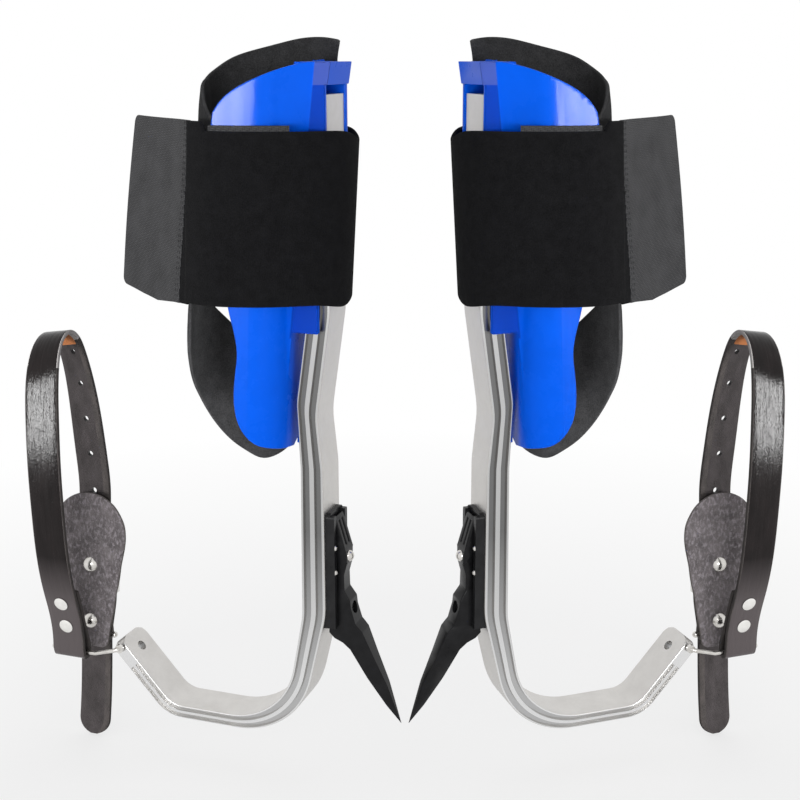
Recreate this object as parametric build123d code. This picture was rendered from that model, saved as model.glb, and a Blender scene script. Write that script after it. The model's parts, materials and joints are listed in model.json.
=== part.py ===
from build123d import *
import os
from math import cos, radians, sin, sqrt, tan

# A pair of tree climbing spikes, millimetres. Each climber is drawn in its own axes:
# x across the boot towards the gaff, y along the boot away from the viewer, z up from the boot tread.
# Then it is turned by YAW, set PAIR_OFFSET from the middle, and mirrored for the other leg.

# pair
YAW = 18.5
PAIR_OFFSET = (-59.5, -25.4)
AIR = 0.3
RUNNING = 0.05
SPLINE_RUN = 12

# shank: one bar, wide 30, seen from its edge as an inner and an outer line
BAR_W = 30.0
RAIL_TOP = 444.0
RAIL_IN = -1.0
RAIL_OUT = 16.0
FLAT_OUT = 9.0
TREAD_T = 10.0
INNER_LINE = [(RAIL_IN, RAIL_TOP), (RAIL_IN, 300), (-9.6, 242), (-7.4, 196), (-8.6, 86), (-24.8, 0),
              (-115.5, 0)]
OUTER_LINE = [(RAIL_OUT, RAIL_TOP), (RAIL_OUT, 304), (5.4, 232), (FLAT_OUT, 196), (FLAT_OUT, 88),
              (-14, -TREAD_T), (-120.5, -TREAD_T)]
INNER_BENDS = [60, 40, 60, 60, 54, 18]
OUTER_BENDS = [60, 60, 60, 60, 62, 28]
TIP_SLOPE = 49.0
TIP_LENGTH = 61.7
TIP_CORNER_R = 9.0
TIP_HOLE_R = 3.75
TIP_HOLE_BACK = 13.5
EDGE_R = 0.9
GROOVE_DEPTH = 2.2
GROOVES = [(0.10, 0.40), (0.60, 0.90)]
GROOVE_TIP_GAP = 22.0

# strap hook: wire through the tip, one leg for each strap
WIRE_R = 1.6
HOOK_BORE_BACK = 5.0
HOOK_COLLAR_R = 3.2
HOOK_COLLAR_T = 2.4
NEAR_LEG = (-19.0, 34.0)
FAR_LEG = (14.0, 34.0)
HOOK_END_X = -212.9
HOOK_JOG_X = -176.0
FAR_LEG_END_X = -179.0
HOOK_BALL_R = 2.4
HOOK_BEND = 3.6

# leather straps
STRAP_W = 26.5
STRAP_X = -195.5
LEATHER_T = 3.0
FOLD_AIR = 0.5
FOLD_MID_R = WIRE_R + FOLD_AIR + LEATHER_T / 2
ADJUST_HOLE_R = 2.0
PRONG_HOLE_R = 2.5
STRAP_INNER_END = [(-26.6, 86), (-22.9, 72), (-19.7, 57), (-16.6, 45)]
STRAP_FRONT = [(-22.7, 43), (-23.3, 55), (-26.2, 70), (-30.4, 86), (-33.7, 102), (-35.9, 120),
               (-37.2, 147), (-37.5, 183), (-35.6, 218), (-31, 249), (-26.3, 262.5), (-17, 274.5),
               (-6, 277.5)]
STRAP_BACK = [(5, 271.5), (12, 260), (16.8, 240), (20.8, 209), (24.2, 176), (25.8, 146), (24.7, 128),
              (27.6, 114), (28.9, 104), (28.3, 88), (26, 68), (22.6, 48), (21.2, 34), (18.8, 11),
              (13.6, -25), (8.0, -51)]
TAIL_R = 12.6
ADJUST_HOLES_Z = [259, 233, 205, 177, 147, 75]
BACK_STRAND_RATIO = 0.62
FOLD_RIVET_R = 2.2
FOLD_RIVET_HEAD_R = 5.4
FOLD_RIVET_HEAD_H = 0.9
FOLD_RIVETS = {"upper": (-26.1, 76.5, 15.0), "lower": (-21.6, 56.5, 9.5)}
LAYER_PAIR_T = 7.75

# buckle group, drawn on the line from the far hook leg to the prong bar
PRONG_BAR = (21.8, 104.0)
ROLLER_BAR = (29.6, 128.0)
BUCKLE_WIRE_R = 1.8
BAR_FOLD_R = BUCKLE_WIRE_R + FOLD_AIR + LEATHER_T / 2
FRAME_HALF_W = 16.4
ROLLER_R = 2.8
ROLLER_HALF = 12.2
LAYER_OFFSET = 2.35
PRONG_R = 1.3
PRONG_EYE_R = 3.3
PRONG_EYE_W = 4.0
PRONG_SLOT_W = 5.2
KEEPER_T = 1.1
KEEPER_H = 9.0
KEEPER_S = 36.0
KEEPER_BACK = -9.9
PINCH_S = 6.6
PINCH_END = 2.2
PINCH_R = 8.0
PAD_GAP = 0.2
ANKLE_PAD_T = 3.0
ANKLE_PAD_BACK = BAR_FOLD_R + LEATHER_T / 2 + PAD_GAP
ANKLE_PAD_R = 29.0
ANKLE_PAD_CENTRE = 84.0
ANKLE_PAD_FOOT = -9.0
ANKLE_PAD_FOOT_HALF = 13.4
PAD_RIVETS = {"upper": 56.3, "lower": 11.5}
RIVET_SHANK_R = 2.0
RIVET_HEAD_R = 6.2
RIVET_HEAD_H = 3.6
RIVET_BACK_R = 3.0
RIVET_BACK_H = 1.0

# gaff and its base
BASE_T = 3.5
BASE_INSET = 2.5
BASE_HALF_W = BAR_W / 2 - BASE_INSET
BASE_BOTTOM = 79.0
BASE_TOP = 164.0
BASE_RAIL_W = 4.3
BASE_RAIL_IN = BASE_HALF_W - BASE_RAIL_W
BASE_RAIL_H = 3.2
GAFF_SEAT = FLAT_OUT + BASE_T
TAB_LOW = (21.8, 136.4)
TAB_HIGH = (14.7, 160.7)
GAFF_SIDE = [(GAFF_SEAT, BASE_BOTTOM - AIR), (8.9, 78.2), (8.3, 73.1), (12.1, 69), (18.4, 66.1),
             (23.6, 61.5), (35, 41.5), (49.3, 20.4), (60.1, 7.4), (50, 38.1), (42, 56.3), (33.5, 76.7),
             (28.5, 82.2), (25.2, 93.2), (24.6, 99.2), (20.1, 106.2), (19.8, 117.4), (22.3, 126.8), TAB_LOW,
             TAB_HIGH, (GAFF_SEAT, 159)]
GAFF_FRONT = [(7.5, 162), (7.5, 136), (6.2, 126), (6.2, 108), (7.5, 98), (7.5, 80), (5.6, 60), (0.35, 7)]
TAB_GROOVE_W = 1.7
TAB_GROOVE_D = 1.3
TAB_GROOVE_Y = 2.7
UPPER_BOLT_Z = 130.5
LOWER_SCREW_Z = 92.5
GAFF_BOLT_R = 3.0
BOLT_DEPTH = 11.0
BOLT_END_GAP = 0.5
UPPER_BOLT_SEAT = 21.8
UPPER_HEAD_R = 4.2
UPPER_HEAD_H = 3.4
LOWER_COUNTERBORE_R = 4.4
LOWER_SEAT = 19.5
LOWER_HEAD_R = 4.1
LOWER_HEAD_H = 4.0
SOCKET_R = 2.0
SOCKET_DEPTH = 2.4
BASE_SCREWS = {"upper": 139.0, "lower": 121.0}
BASE_SCREW_INSET = 2.1
BASE_SCREW_Y = BASE_SCREW_INSET - BASE_HALF_W
BASE_SCREW_R = 1.3
BASE_SCREW_HEAD_R = 2.0
BASE_SCREW_HEAD_H = 1.3
BASE_SCREW_DEPTH = 9.0

# calf cuff: a D-shaped ring leaning with the leg, cut to the outlines of its wings
LEG_X = -44.0
LEG_Z = 340.0
LEG_LEAN = 0.06
RING_BOTTOM = 170.0
RING_TOP = 486.0
SHELL_R = 48.8
SHELL_FLAT = 36.0
SHELL_T = 3.5
SHELL_CORNER = 30.0
SHOULDER_ANGLE = 50.0
SHOULDER_ENDS = [(-17.6, 213.0), (10.0, 464.0)]
PAD_T = 7.0
PAD_FIT = 0.3
WING_SPLIT = 13.9
SHELL_NEAR_TOP = [(40, 466), (5.5, 464.8), (-11.8, 461.7), (-32.6, 454.4), (-51.9, 443.3), (-59.9, 433.6)]
SHELL_NEAR_SIDE = [(-59.9, 433.6), (-62.5, 415), (-60.5, 370), (-55.8, 325), (-53.8, 308), (-51.2, 296),
                   (-49.6, 281), (-51.5, 265.3), (-52.7, 249.8), (-51.7, 238.2), (-46.9, 226.2),
                   (-37.9, 217.5), (-26.7, 214.1), (-10, 213), (40, 213)]
SHELL_FAR_TOP = [(40, 466), (5, 465), (-25, 459), (-50, 449), (-68, 438)]
SHELL_FAR_SIDE = [(-68, 438), (-74, 420), (-76, 380), (-78, 330), (-80, 290), (-77, 255), (-66, 226),
                  (-48, 210), (-20, 206), (40, 206)]
PAD_NEAR_TOP = [(40, 464), (5, 462.5), (-12, 459), (-32, 451.5), (-50.5, 440.5), (-57.5, 431)]
PAD_NEAR_SIDE = [(-57.5, 431), (-60, 415), (-58, 370), (-53.4, 325), (-51.4, 308), (-48.8, 296),
                 (-47.2, 281), (-49.1, 265.3), (-50.2, 249.8), (-49.2, 239.2), (-45, 228.5), (-37, 220.5),
                 (-26.5, 217.5), (-10, 216.5), (40, 216.5)]
PAD_FAR_TOP = [(40, 476), (15.5, 477.5), (0, 479.3), (-12, 478.2), (-30.5, 474.1), (-53.5, 466), (-66, 456),
               (-73.5, 445)]
PAD_FAR_SIDE = [(-73.5, 445), (-76.5, 420), (-81, 370), (-86.5, 320), (-92, 296), (-95, 276), (-93, 256),
                (-86, 234), (-70.5, 203), (-57.3, 190.6), (-43.7, 184.5), (-26, 187.5), (-17.5, 200),
                (-12, 218), (5, 229), (40, 232)]
PAD_LOBE = (-98.0, -72.0, 236.0, 296.0)
PAD_LOBE_WRAP = 22.0
STRAP_SLOT = [(-80, 301), (-72, 289.5), (-64.8, 282.6), (-55, 278), (-46, 283), (-46, 330), (-80, 330)]

# sleeve of the cuff on the rail, with keys in the inner grooves and two clamp screws
SLEEVE_BACK = -17.0
SLEEVE_FRONT = 9.0
SLEEVE_WALL = 4.0
SLEEVE_BOTTOM = 291.0
SLEEVE_TOP = 464.0
RELIEF_TOP = 312.0
RELIEF_X = -7.5
CAP_BOTTOM = 450.0
CAP_LOW_X = 18.2
CAP_HIGH_X = 20.4
FAR_WALL_X = 17.0
NEAR_WALL_X = 16.2
HEAD_WALL_BOTTOM = 408.0
KEY_TOP = 440.0
KEY_X = (1.0, 5.5)
CLAMP_SCREWS = {"upper": (11.75, 428.0), "lower": (3.25, 346.0)}
CLAMP_R = 2.5
CLAMP_HEAD_R = 4.0
CLAMP_HEAD_H = 3.0
CLAMP_TIP_GAP = 0.25

# calf strap
BAND_BOTTOM = 313.0
BAND_TOP = 424.5
BAND_MID = 369.0
BAND_T = 2.0
PANEL_T = 1.3
LAYER_GAP = 0.15
BAND_FIT = 0.7
BAND_FAR_ANGLES = [112.3, 90, 70]
BAND_LOOP = [(-4, 41), (12.5, 30), (22.5, 17), (26, 3), (24, -11), (14.5, -25), (-3, -38.6)]
BAND_NEAR_ANGLES = [-70, -90, -106, -120.3]
PANEL_START_RATIO = 0.44
FLAP_ANGLE = 145.0
FLAP_LENGTH = 86.0
FLAP_BOTTOM = 308.5
FLAP_TOP = 428.5
HOOK_START_RATIO = 0.12
PANEL_INSET = 3.0
BAND_RIVETS = {"upper": 398.0, "lower": 352.0}
BAND_RIVET_ANGLE = 98.0
BAND_RIVET_R = 2.0
BAND_RIVET_HEAD_R = 4.5
BAND_RIVET_HEAD_H = 1.2

TIP_DIR = Vector(-cos(radians(TIP_SLOPE)), 0, sin(radians(TIP_SLOPE)))
TIP_NORMAL = Vector(sin(radians(TIP_SLOPE)), 0, cos(radians(TIP_SLOPE)))
LEAN_DIR = Vector(LEG_LEAN, 0, 1)
VIEW = Plane(origin=(0, 0, 0), x_dir=(cos(radians(YAW)), sin(radians(YAW)), 0),
             z_dir=(sin(radians(YAW)), -cos(radians(YAW)), 0))
STRAP_PLANE = Plane(origin=(STRAP_X, 0, 0), x_dir=(0, 1, 0), z_dir=(1, 0, 0))
BUCKLE_UP = Vector(0, PRONG_BAR[0] - FAR_LEG[0], PRONG_BAR[1] - FAR_LEG[1])
BUCKLE_LENGTH = BUCKLE_UP.length
BUCKLE_N = Vector(1, 0, 0).cross(BUCKLE_UP.normalized())
BUCKLE_PLANE = Plane(origin=(STRAP_X, FAR_LEG[0], FAR_LEG[1]), x_dir=(1, 0, 0), z_dir=BUCKLE_N)
BUCKLE_SIDE = Plane(origin=(STRAP_X, FAR_LEG[0], FAR_LEG[1]), x_dir=BUCKLE_N, z_dir=(-1, 0, 0))


def rounded_path(points, radii):
    edges = []
    start = Vector(*points[0])
    for i, radius in enumerate(radii):
        corner = Vector(*points[i + 1])
        back = (Vector(*points[i]) - corner).normalized()
        ahead = (Vector(*points[i + 2]) - corner).normalized()
        half = radians(back.get_angle(ahead) / 2)
        first = corner + back * (radius / tan(half))
        last = corner + ahead * (radius / tan(half))
        middle = corner + (back + ahead).normalized() * (radius / sin(half) - radius)
        edges.append(Line(start, first))
        edges.append(ThreePointArc(first, middle, last))
        start = last
    edges.append(Line(start, Vector(*points[-1])))
    return edges


def outline(top, side):
    close = Line(side[-1], top[0])
    return make_face([Spline(*top), Spline(*side), close])


def ribbon(path, thickness, shift=0.0, begin=0.0):
    middle = Spline(*path)
    count = 10 * len(path)
    left = []
    right = []
    slopes = []
    for i in range(count + 1):
        place = begin + (1 - begin) * i / count
        point = middle.position_at(place)
        along = middle.tangent_at(place)
        across = Vector(-along.Y, along.X, 0)
        slopes.append(along)
        left.append(point + across * (shift + thickness / 2))
        right.append(point + across * (shift - thickness / 2))
    ends = [Line(left[0], right[0]), Line(left[-1], right[-1])]
    return make_face(spline_run(left, slopes) + spline_run(right, slopes) + ends)


def spline_run(points, slopes):
    edges = []
    for low in range(0, len(points) - 1, SPLINE_RUN):
        high = min(low + SPLINE_RUN, len(points) - 1)
        edges.append(Spline(*points[low:high + 1], tangents=[slopes[low], slopes[high]]))
    return edges


def cylinder(base, direction, radius, length):
    return extrude(Plane(origin=base, z_dir=direction) * Circle(radius), amount=length)


def dome(base, direction, radius, height):
    ball = (radius * radius + height * height) / (2 * height)
    seat = Plane(origin=base, z_dir=direction)
    cap = seat * Location((0, 0, height - ball)) * Sphere(ball)
    return cap & cylinder(base, direction, radius, height)


def block(x, y, z):
    size = (x[1] - x[0], y[1] - y[0], z[1] - z[0])
    middle = ((x[0] + x[1]) / 2, (y[0] + y[1]) / 2, (z[0] + z[1]) / 2)
    return Location(middle) * Box(*size)


def bar_line(fraction, tip_gap=0.0):
    corner_in = Vector(INNER_LINE[-1][0], 0, INNER_LINE[-1][1])
    corner_out = Vector(OUTER_LINE[-1][0], 0, OUTER_LINE[-1][1])
    ends_in = corner_in + TIP_DIR * (TIP_LENGTH - tip_gap)
    ends_out = ends_in + TIP_NORMAL * (corner_out - corner_in).dot(TIP_NORMAL)
    inner = INNER_LINE + [(ends_in.X, ends_in.Z)]
    outer = OUTER_LINE + [(ends_out.X, ends_out.Z)]
    points = []
    for a, b in zip(inner, outer):
        points.append((a[0] + (b[0] - a[0]) * fraction, a[1] + (b[1] - a[1]) * fraction))
    radii = [a + (b - a) * fraction for a, b in zip(INNER_BENDS, OUTER_BENDS)]
    return rounded_path(points, radii)


def bar_face(low, high, tip_gap=0.0):
    first = bar_line(low, tip_gap)
    second = bar_line(high, tip_gap)
    caps = [Line(first[0] @ 0, second[0] @ 0), Line(first[-1] @ 1, second[-1] @ 1)]
    return make_face(first + second + caps)


def tip_point(back, depth):
    corner = Vector(INNER_LINE[-1][0], 0, INNER_LINE[-1][1]) + TIP_DIR * (TIP_LENGTH - back)
    return corner - TIP_NORMAL * depth


def shank():
    bar = extrude(Plane.XZ * bar_face(0, 1), amount=BAR_W / 2, both=True)
    bar = fillet(bar.faces().sort_by(Axis.X)[0].edges().filter_by(Axis.Y, reverse=True), TIP_CORNER_R)
    rails = bar.faces().sort_by(Axis.Z)[-1].edges().filter_by(Axis.X).vertices()
    long_edges = bar.edges().filter_by(Axis.Z).filter_by(lambda e: any(v in e.vertices() for v in rails))
    bar = fillet(long_edges, EDGE_R)
    for low, high in GROOVES:
        band = bar_face(low, high, GROOVE_TIP_GAP)
        for side in (-1, 1):
            seat = Plane(origin=(0, side * BAR_W / 2, 0), x_dir=(1, 0, 0), z_dir=(0, -1, 0))
            bar -= extrude(seat * band, amount=GROOVE_DEPTH, both=True)
    bar -= cylinder(tip_point(TIP_HOLE_BACK, -2), -TIP_NORMAL, TIP_HOLE_R, TREAD_T + 6)
    bore = tip_point(HOOK_BORE_BACK, TREAD_T / 2)
    bar -= cylinder(bore - Vector(0, BAR_W, 0), (0, 1, 0), WIRE_R + RUNNING, 2 * BAR_W)
    for z in (UPPER_BOLT_Z, LOWER_SCREW_Z):
        bar -= cylinder((FLAT_OUT + 3, 0, z), (-1, 0, 0), GAFF_BOLT_R, BOLT_DEPTH + 3)
    for z in BASE_SCREWS.values():
        bar -= cylinder((FLAT_OUT + 3, BASE_SCREW_Y, z), (-1, 0, 0), BASE_SCREW_R, BASE_SCREW_DEPTH + 3)
    return bar


def gaff_base(bar):
    plate = block((0, GAFF_SEAT), (-BASE_HALF_W, BASE_HALF_W), (BASE_BOTTOM, BASE_TOP))
    for side in (-1, 1):
        low, high = sorted((side * BASE_RAIL_IN, side * BASE_HALF_W))
        plate += block((0, GAFF_SEAT + BASE_RAIL_H), (low, high), (BASE_BOTTOM, BASE_TOP - 2))
    plate = fillet(plate.edges().filter_by(Axis.X).sort_by(Axis.Z)[-2:], 4)
    plate -= bar
    plate = plate.solids().sort_by(lambda s: s.volume)[-1]
    for z in (UPPER_BOLT_Z, LOWER_SCREW_Z):
        plate -= cylinder((0, 0, z), (1, 0, 0), GAFF_BOLT_R, 40)
    for z in BASE_SCREWS.values():
        plate -= cylinder((0, BASE_SCREW_Y, z), (1, 0, 0), BASE_SCREW_R, 40)
    return plate


def gaff():
    side = extrude(Plane.XZ * make_face(Polyline(*GAFF_SIDE, close=True)), amount=20, both=True)
    front = GAFF_FRONT + [(-y, z) for y, z in reversed(GAFF_FRONT)]
    body = side & extrude(Plane.YZ * make_face(Polyline(*front, close=True)), amount=80)
    low = Vector(TAB_LOW[0], 0, TAB_LOW[1])
    high = Vector(TAB_HIGH[0], 0, TAB_HIGH[1])
    slope = Plane(origin=(low + high) / 2, x_dir=(0, 1, 0), z_dir=(high - low).cross(Vector(0, -1, 0)))
    for y in (-TAB_GROOVE_Y, TAB_GROOVE_Y):
        body -= slope * Location((y, 0, 0)) * Box(TAB_GROOVE_W, 18, 2 * TAB_GROOVE_D)
    body -= cylinder((0, 0, UPPER_BOLT_Z), (1, 0, 0), GAFF_BOLT_R + RUNNING, 40)
    body -= cylinder((UPPER_BOLT_SEAT, 0, UPPER_BOLT_Z), (1, 0, 0), UPPER_HEAD_R + AIR, 10)
    body -= cylinder((0, 0, LOWER_SCREW_Z), (1, 0, 0), GAFF_BOLT_R + RUNNING, 40)
    body -= cylinder((LOWER_SEAT, 0, LOWER_SCREW_Z), (1, 0, 0), LOWER_COUNTERBORE_R, 20)
    return body


def upper_bolt():
    start = FLAT_OUT - BOLT_DEPTH + BOLT_END_GAP
    stem = cylinder((start, 0, UPPER_BOLT_Z), (1, 0, 0), GAFF_BOLT_R, UPPER_BOLT_SEAT - start)
    return stem + dome((UPPER_BOLT_SEAT, 0, UPPER_BOLT_Z), (1, 0, 0), UPPER_HEAD_R, UPPER_HEAD_H)


def lower_screw():
    start = FLAT_OUT - BOLT_DEPTH + BOLT_END_GAP
    stem = cylinder((start, 0, LOWER_SCREW_Z), (1, 0, 0), GAFF_BOLT_R, LOWER_SEAT - start)
    head = cylinder((LOWER_SEAT, 0, LOWER_SCREW_Z), (1, 0, 0), LOWER_HEAD_R, LOWER_HEAD_H)
    top = Plane(origin=(LOWER_SEAT + LOWER_HEAD_H, 0, LOWER_SCREW_Z), z_dir=(-1, 0, 0))
    return stem + head - extrude(top * RegularPolygon(SOCKET_R, 6), amount=SOCKET_DEPTH)


def base_screw(z):
    seat = GAFF_SEAT + BASE_RAIL_H
    start = FLAT_OUT - BASE_SCREW_DEPTH + BOLT_END_GAP
    stem = cylinder((start, BASE_SCREW_Y, z), (1, 0, 0), BASE_SCREW_R, seat - start)
    return stem + dome((seat, BASE_SCREW_Y, z), (1, 0, 0), BASE_SCREW_HEAD_R, BASE_SCREW_HEAD_H)


def d_ring(outer_r, outer_flat, corner, thickness):
    bottom_x = LEG_X + LEG_LEAN * (RING_BOTTOM - LEG_Z)
    faces = []
    for inset in (0, thickness):
        radius = outer_r - inset
        flat = outer_flat - inset
        shape = Circle(radius) - Location((flat + radius, 0)) * Rectangle(2 * radius, 4 * radius)
        faces.append(fillet(shape.vertices(), corner - inset))
    stand = Location((bottom_x, 0, RING_BOTTOM))
    length = LEAN_DIR.length * (RING_TOP - RING_BOTTOM)
    full, inside = [extrude(stand * face, amount=length, dir=LEAN_DIR.normalized()) for face in faces]
    return full - inside, inside


def wing(ring, near, far):
    near_cut = extrude(VIEW * Location((0, 0, -WING_SPLIT)) * near, amount=120)
    far_cut = extrude(VIEW * Location((0, 0, -WING_SPLIT)) * far, amount=-120)
    return (ring & near_cut) + (ring & far_cut)


def strap_slot():
    window = make_face(Polyline(*STRAP_SLOT, close=True))
    return extrude(VIEW * Location((0, 0, -WING_SPLIT - 12)) * window, amount=-100)


def leg_centre(z):
    return LEG_X + LEG_LEAN * (z - LEG_Z)


def rivet_axis(z):
    angle = radians(BAND_RIVET_ANGLE)
    out = Vector(cos(angle), sin(angle), 0)
    return Vector(leg_centre(z), 0, z), out


def shoulder(side):
    across = SHELL_FLAT - SHELL_CORNER
    along = sqrt((SHELL_R - SHELL_CORNER) ** 2 - across ** 2)
    turn = radians(SHOULDER_ANGLE)
    wide = BAR_W / 2 + AIR + SLEEVE_WALL
    faces = []
    for x, z in SHOULDER_ENDS:
        start = leg_centre(z) + across + SHELL_CORNER * cos(turn)
        rim = Polyline((start, side * (along + SHELL_CORNER * sin(turn))), (x, side * wide),
                       (start - SHELL_T, side * wide), close=True)
        faces.append(Location((0, 0, z)) * make_face(rim))
    return loft(faces)


def cuff_shell():
    ring, inside = d_ring(SHELL_R, SHELL_FLAT, SHELL_CORNER, SHELL_T)
    ring += shoulder(-1) + shoulder(1) - inside
    shell = wing(ring, outline(SHELL_NEAR_TOP, SHELL_NEAR_SIDE), outline(SHELL_FAR_TOP, SHELL_FAR_SIDE))
    shell -= strap_slot()
    half = BAR_W / 2 + AIR
    wide = half + SLEEVE_WALL
    sleeve = block((SLEEVE_BACK, SLEEVE_FRONT), (-wide, wide), (SLEEVE_BOTTOM, SLEEVE_TOP))
    sleeve += block((0, FAR_WALL_X), (half, wide), (HEAD_WALL_BOTTOM, SLEEVE_TOP))
    sleeve += block((0, NEAR_WALL_X), (-wide, -half), (HEAD_WALL_BOTTOM, SLEEVE_TOP))
    cap_faces = []
    for x, z in ((CAP_LOW_X, CAP_BOTTOM), (CAP_HIGH_X, SLEEVE_TOP)):
        rim = Polyline((SLEEVE_BACK, -wide), (x, -wide), (x, wide), (SLEEVE_BACK, wide), close=True)
        cap_faces.append(Location((0, 0, z)) * make_face(rim))
    sleeve -= block((RAIL_IN - AIR, 40), (-half, half), (SLEEVE_BOTTOM - 1, CAP_BOTTOM))
    sleeve += loft(cap_faces)
    sleeve -= block((RELIEF_X, 40), (-half, half), (SLEEVE_BOTTOM - 1, RELIEF_TOP))
    for side in (-1, 1):
        low_y, high_y = sorted((side * (BAR_W / 2 - GROOVE_DEPTH + AIR), side * (half + 0.1)))
        sleeve += block(KEY_X, (low_y, high_y), (RELIEF_TOP, KEY_TOP))
    shell += sleeve - inside
    for x, z in CLAMP_SCREWS.values():
        shell -= cylinder((x, 0, z), (0, 1, 0), CLAMP_R, 40)
    for z in BAND_RIVETS.values():
        centre, out = rivet_axis(z)
        shell -= cylinder(centre + out * (SHELL_R / 2), out, BAND_RIVET_R, SHELL_R)
    return shell


def cuff_pad():
    inset = SHELL_T + PAD_FIT
    ring, inside = d_ring(SHELL_R - inset, SHELL_FLAT - inset, SHELL_CORNER - SHELL_T, PAD_T)
    pad = wing(ring, outline(PAD_NEAR_TOP, PAD_NEAR_SIDE), outline(PAD_FAR_TOP, PAD_FAR_SIDE))
    left, right, bottom, top = PAD_LOBE
    lobe = make_face(Polyline((left, bottom + 18), (right, bottom), (right, top), (left, top), close=True))
    pad += ring & extrude(VIEW * Location((0, 0, -WING_SPLIT)) * lobe, amount=PAD_LOBE_WRAP)
    pad -= strap_slot()
    for z in BAND_RIVETS.values():
        centre, out = rivet_axis(z)
        pad -= cylinder(centre + out * (SHELL_R / 2), out, BAND_RIVET_HEAD_R + AIR, SHELL_R)
    return pad


def clamp_screw(x, z):
    face = BAR_W / 2 + AIR + SLEEVE_WALL
    tip = BAR_W / 2 - GROOVE_DEPTH + CLAMP_TIP_GAP
    stem = cylinder((x, tip, z), (0, 1, 0), CLAMP_R, face - tip)
    return stem + dome((x, face, z), (0, 1, 0), CLAMP_HEAD_R, CLAMP_HEAD_H)


def leaning_band(face, bottom, top):
    shift = LEG_LEAN * (bottom - BAND_MID)
    length = LEAN_DIR.length * (top - bottom)
    return extrude(Location((shift, 0, bottom)) * face, amount=length, dir=LEAN_DIR.normalized())


def on_band(angle):
    radius = SHELL_R + BAND_FIT + BAND_T / 2
    return leg_centre(BAND_MID) + radius * cos(radians(angle)), radius * sin(radians(angle))


def band_path():
    return [on_band(a) for a in BAND_FAR_ANGLES] + BAND_LOOP + [on_band(a) for a in BAND_NEAR_ANGLES]


def flap_path():
    last = radians(BAND_NEAR_ANGLES[-1])
    end = on_band(BAND_NEAR_ANGLES[-1])
    reach = BAND_T / 2 + AIR
    seam = (end[0] + reach * sin(last), end[1] - reach * cos(last))
    step = Vector(FLAP_LENGTH / 4, 0).rotate(Axis.Z, FLAP_ANGLE)
    return [(seam[0] + k * step.X, seam[1] + k * step.Y) for k in range(5)]


def calf_band():
    band = leaning_band(ribbon(band_path(), BAND_T), BAND_BOTTOM, BAND_TOP)
    for z in BAND_RIVETS.values():
        centre, out = rivet_axis(z)
        band -= cylinder(centre + out * (SHELL_R / 2), out, BAND_RIVET_R, SHELL_R)
    return band


def loop_panel():
    face = ribbon(band_path(), PANEL_T, (BAND_T + PANEL_T) / 2 + LAYER_GAP, PANEL_START_RATIO)
    return leaning_band(face, BAND_BOTTOM - 1, BAND_TOP - PANEL_INSET)


def band_rivet(z):
    centre, out = rivet_axis(z)
    inner = SHELL_R - SHELL_T
    outer = SHELL_R + BAND_FIT + BAND_T + AIR
    head = inner - BAND_RIVET_HEAD_H - AIR
    stem = cylinder(centre + out * head, out, BAND_RIVET_R, outer - head)
    back = cylinder(centre + out * head, out, BAND_RIVET_HEAD_R, BAND_RIVET_HEAD_H)
    return stem + back + dome(centre + out * outer, out, BAND_RIVET_HEAD_R, BAND_RIVET_HEAD_H)


def calf_flap():
    path = flap_path()
    hem = Location(path[0]) * Circle(BAND_T / 2)
    return leaning_band(ribbon(path, BAND_T) + hem, FLAP_BOTTOM, FLAP_TOP)


def hook_panel():
    face = ribbon(flap_path(), PANEL_T, -(BAND_T + PANEL_T) / 2 - LAYER_GAP, HOOK_START_RATIO)
    return leaning_band(face, FLAP_BOTTOM + PANEL_INSET, FLAP_TOP - PANEL_INSET)


def strap_hook():
    bore = tip_point(HOOK_BORE_BACK, TREAD_T / 2)
    half = BAR_W / 2
    points = [(bore.X, half + AIR, bore.Z), (bore.X, NEAR_LEG[0], bore.Z), (HOOK_JOG_X, *NEAR_LEG),
              (HOOK_END_X, *NEAR_LEG), (HOOK_END_X, *FAR_LEG), (FAR_LEG_END_X, *FAR_LEG)]
    path = Wire(rounded_path(points, [HOOK_BEND] * 4))
    wire = sweep(Plane(origin=path @ 0, z_dir=path % 0) * Circle(WIRE_R), path=path)
    wire += cylinder((bore.X, -half - AIR, bore.Z), (0, -1, 0), HOOK_COLLAR_R, HOOK_COLLAR_T)
    wire += dome((bore.X, half + AIR, bore.Z), (0, 1, 0), HOOK_COLLAR_R, HOOK_COLLAR_T)
    wire += Location((FAR_LEG_END_X, *FAR_LEG)) * Sphere(HOOK_BALL_R)
    return wire


def strap_path():
    fold = []
    for angle in (0, -45, -90, -135, -180):
        across = FOLD_MID_R * cos(radians(angle))
        fold.append((NEAR_LEG[0] + across, NEAR_LEG[1] + FOLD_MID_R * sin(radians(angle))))
    return STRAP_INNER_END + fold + STRAP_FRONT + STRAP_BACK


def back_strand(z):
    middle = Spline(*strap_path())
    above = BACK_STRAND_RATIO
    below = 1.0
    for _ in range(40):
        half = (above + below) / 2
        if middle.position_at(half).Y > z:
            above = half
        else:
            below = half
    point = middle.position_at(above)
    along = middle.tangent_at(above)
    return Vector(STRAP_X, point.X, point.Y), Vector(0, -along.Y, along.X)


def fold_rivet_axis(y, z, angle):
    return Vector(STRAP_X, y, z), Vector(0, cos(radians(angle)), sin(radians(angle)))


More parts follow.
